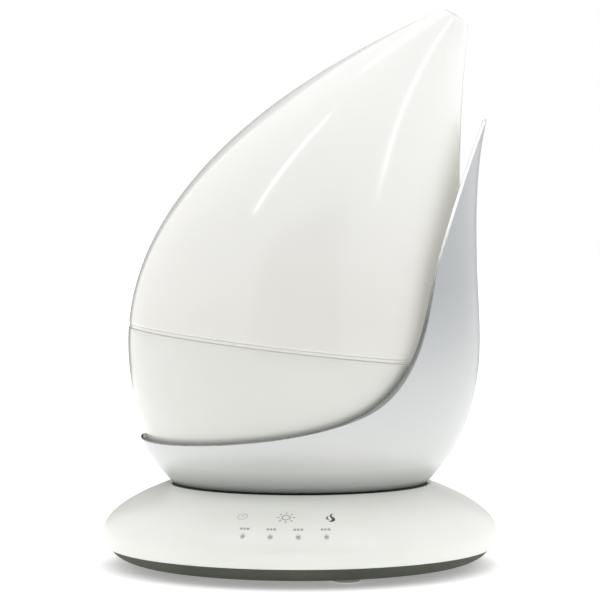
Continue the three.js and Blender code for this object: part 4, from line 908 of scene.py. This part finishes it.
tube_foot = np.array([58.0, 0, 114.75])
tip_middle = np.array([(tip_left[0] + tip_right[0]) / 2, 0, (tip_left[1] + tip_right[1]) / 2])
tube_line = tip_middle - tube_foot
tube_length = float(np.linalg.norm(tube_line))
tube_lean = math.atan2(tube_line[0], tube_line[2])
TUBE_LINE = Matrix.Translation(Vector(tube_foot) * MM) @ Matrix.Rotation(tube_lean, 4, "Y")
tube_end = tube_length - 43.8
tube = turned(eased([(14.4, 2.7), (16, 2.7, 0.6), (7, tube_end, 0.3), (5.4, tube_end, 0.3)]), around=72)
tube.transform(TUBE_LINE)
fit("tube", tube, milky_pp_painted_glow, "tank_plastic", "tank", "mist_tube")
tip_tilt = math.atan2(tip_left[1] - tip_right[1], tip_right[0] - tip_left[0])
nozzle = turned(eased([(5, tube_end + 0.4, 0.3), (7, tube_end + 0.4, 0.4), (7, tube_end + 3),
    (6.2, tube_end + 8),
                       (6.2, tube_length + 12), (5, tube_length + 12)]), around=72)
nozzle.transform(TUBE_LINE)
above_tip = bar(0, 0, 60, 60, 0.9, 60, 0, 0)
above_tip.transform(Matrix.Translation(Vector(tip_middle) * MM) @ Matrix.Rotation(tip_tilt, 4, "Y"))
fit("nozzle", carved(nozzle, above_tip), milky_pp_painted_glow, "tank_plastic", "tank", "mist_nozzle", weighted=False)

# ---------------------------------------------------------------- filler cap and valve
# The screw cap under the tank: gloss white ABS with eight grips and a silicone washer. A spring in its
# cage keeps the valve shut until the basin's pin lifts the stem.
cap = turned(eased([(9, 92, 0.6), (27.5, 92, 0.5), (29.5, 94, 1.5), (29.5, 109, 0.6), (26.5, 109, 0.5),
    (26.5, 94.4), (9, 94.4, 0.5)]), -42, 0, 120)
grips = [bar(x, y, 2, 3, 95, 108, a, 0.7) for x, y, a in ring_of(8, 0, 29.5, -42, 0)]
fit("cap_shell", joined(cap, *grips), gloss_abs, "white_gloss", "cap", "filler_cap")
washer = turned(eased([(23.8, 94.75, 0.6), (26, 94.75, 0.4), (26, 97.65, 0.4), (23.8, 97.65, 0.6)]), -42,
    0, 96)
fit("cap_washer", washer, cast_silicone, "silicone", "cap", "cap_gasket")
cage = [turned(eased([(14, 94.75, 0.3), (17, 94.75, 0.3), (17, 96.6, 0.4), (14, 96.6, 0.4)]), -42, 0, 72),
        turned(eased([(2.7, 114, 0.3), (15.5, 114, 0.3), (15.5, 116, 0.6), (2.7, 116, 0.4)]), -42, 0, 72)]
cage += [bar(x, y, 2, 4, 96, 115.5, a, 0.4) for x, y, a in ring_of(3, 0, 15, -42, 0)]
fit("cage", joined(*cage), inner_abs, "inner_white", "cap", "valve_cage")
stem_low, stem_high = (corner.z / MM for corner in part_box("valve_stem"))
seat_low, seat_high = (corner.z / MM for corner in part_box("valve_seal"))
stem = turned(eased([(0, stem_low), (2.2, stem_low, 0.5), (2.2, seat_high + 0.35, 0.2),
    (11.5, seat_high + 0.35, 0.4),
                     (11.5, seat_high + 1.95, 0.5), (2.2, seat_high + 1.95, 0.3), (2.2, stem_high, 0.6),
                     (0, stem_high)]), -42, 0, 64)
fit("stem", stem, inner_abs, "inner_white", "valve", "valve_stem")
disc_seal = turned(eased([(2.55, seat_low, 0.2), (12.2, seat_low, 0.5), (12.2, seat_high, 0.5),
    (2.55, seat_high, 0.2)]), -42, 0, 64)
fit("valve_washer", disc_seal, cast_silicone, "silicone", "valve", "valve_seal")
coat(zinc_plate, "valve_spring")

# ---------------------------------------------------------------- floor and light
# A seamless white table under a bright white surround. Two tall softboxes at the sides and one overhead
# give the long highlights, and a grey card behind the lens keeps the front from washing out. Two black
# flags behind the object draw its thin dark outline, and only reflections see them.
white_table, tree, shader, place = finished("table_white_matt", "#f7f7f7", 0.9, IOR=1.45,
    Emission_Color=(1, 1, 1, 1), Emission_Strength=0.3)
work = bmesh.new()
bmesh.ops.create_circle(work, cap_ends=True, segments=96, radius=20)
table_mesh = bpy.data.meshes.new("table")
work.to_mesh(table_mesh)
work.free()
table_mesh.materials.append(white_table)
table = bpy.data.objects.new("table", table_mesh)
table.location.z = -0.0004
bpy.context.scene.collection.objects.link(table)

world = bpy.data.worlds.new("white_surround")
world.use_nodes = True
world.node_tree.nodes["Background"].inputs["Color"].default_value = (1, 1, 1, 1)
world.node_tree.nodes["Background"].inputs["Strength"].default_value = 1.0
bpy.context.scene.world = world


def softbox(name, place, target, width, height, power):
    """A rectangular area lamp that points at a place on the object."""
    lamp = bpy.data.lights.new(name, "AREA")
    lamp.shape = "RECTANGLE"
    lamp.size, lamp.size_y, lamp.energy = width, height, power
    made = bpy.data.objects.new(name, lamp)
    made.location = place
    made.rotation_euler = (Vector(target) - Vector(place)).to_track_quat("-Z", "Y").to_euler()
    bpy.context.scene.collection.objects.link(made)
    return made


softbox("left_box", (-0.75, -0.6, 1.75), (0, 0, 0.2), 0.07, 0.8, 1.8)
softbox("right_box", (0.95, -0.7, 1.35), (0, 0, 0.22), 0.06, 0.9, 1.4)
softbox("top_box", (0.1, 0.3, 1.5), (0, 0, 0.2), 0.8, 0.8, 2.5)


def card(name, colour, place, width, height):
    """An upright matt card that the camera doesn't see."""
    finish = finished(name, colour, 0.9)[0]
    x, z = width / 2, height / 2
    mesh = bpy.data.meshes.new(name)
    mesh.from_pydata([(-x, 0, -z), (x, 0, -z), (x, 0, z), (-x, 0, z)], [], [(0, 1, 2, 3)])
    mesh.materials.append(finish)
    made = bpy.data.objects.new(name, mesh)
    made.location = place
    made.visible_camera = False
    bpy.context.scene.collection.objects.link(made)
    return made


card("card_grey_matt", "#6a6a6a", (0.15, -2.2, 0.9), 2.4, 2.4)
for flag in (card("flag_left_black", "#303030", (-0.44, 1.1, 0.6), 0.52, 1.2),
             card("flag_right_grey", "#8c8c8c", (0.31, 1.1, 0.6), 0.26, 1.2)):
    flag.visible_diffuse = False
    flag.visible_shadow = False

bpy.context.scene.view_settings.view_transform = "Standard"
bpy.context.view_layer.update()
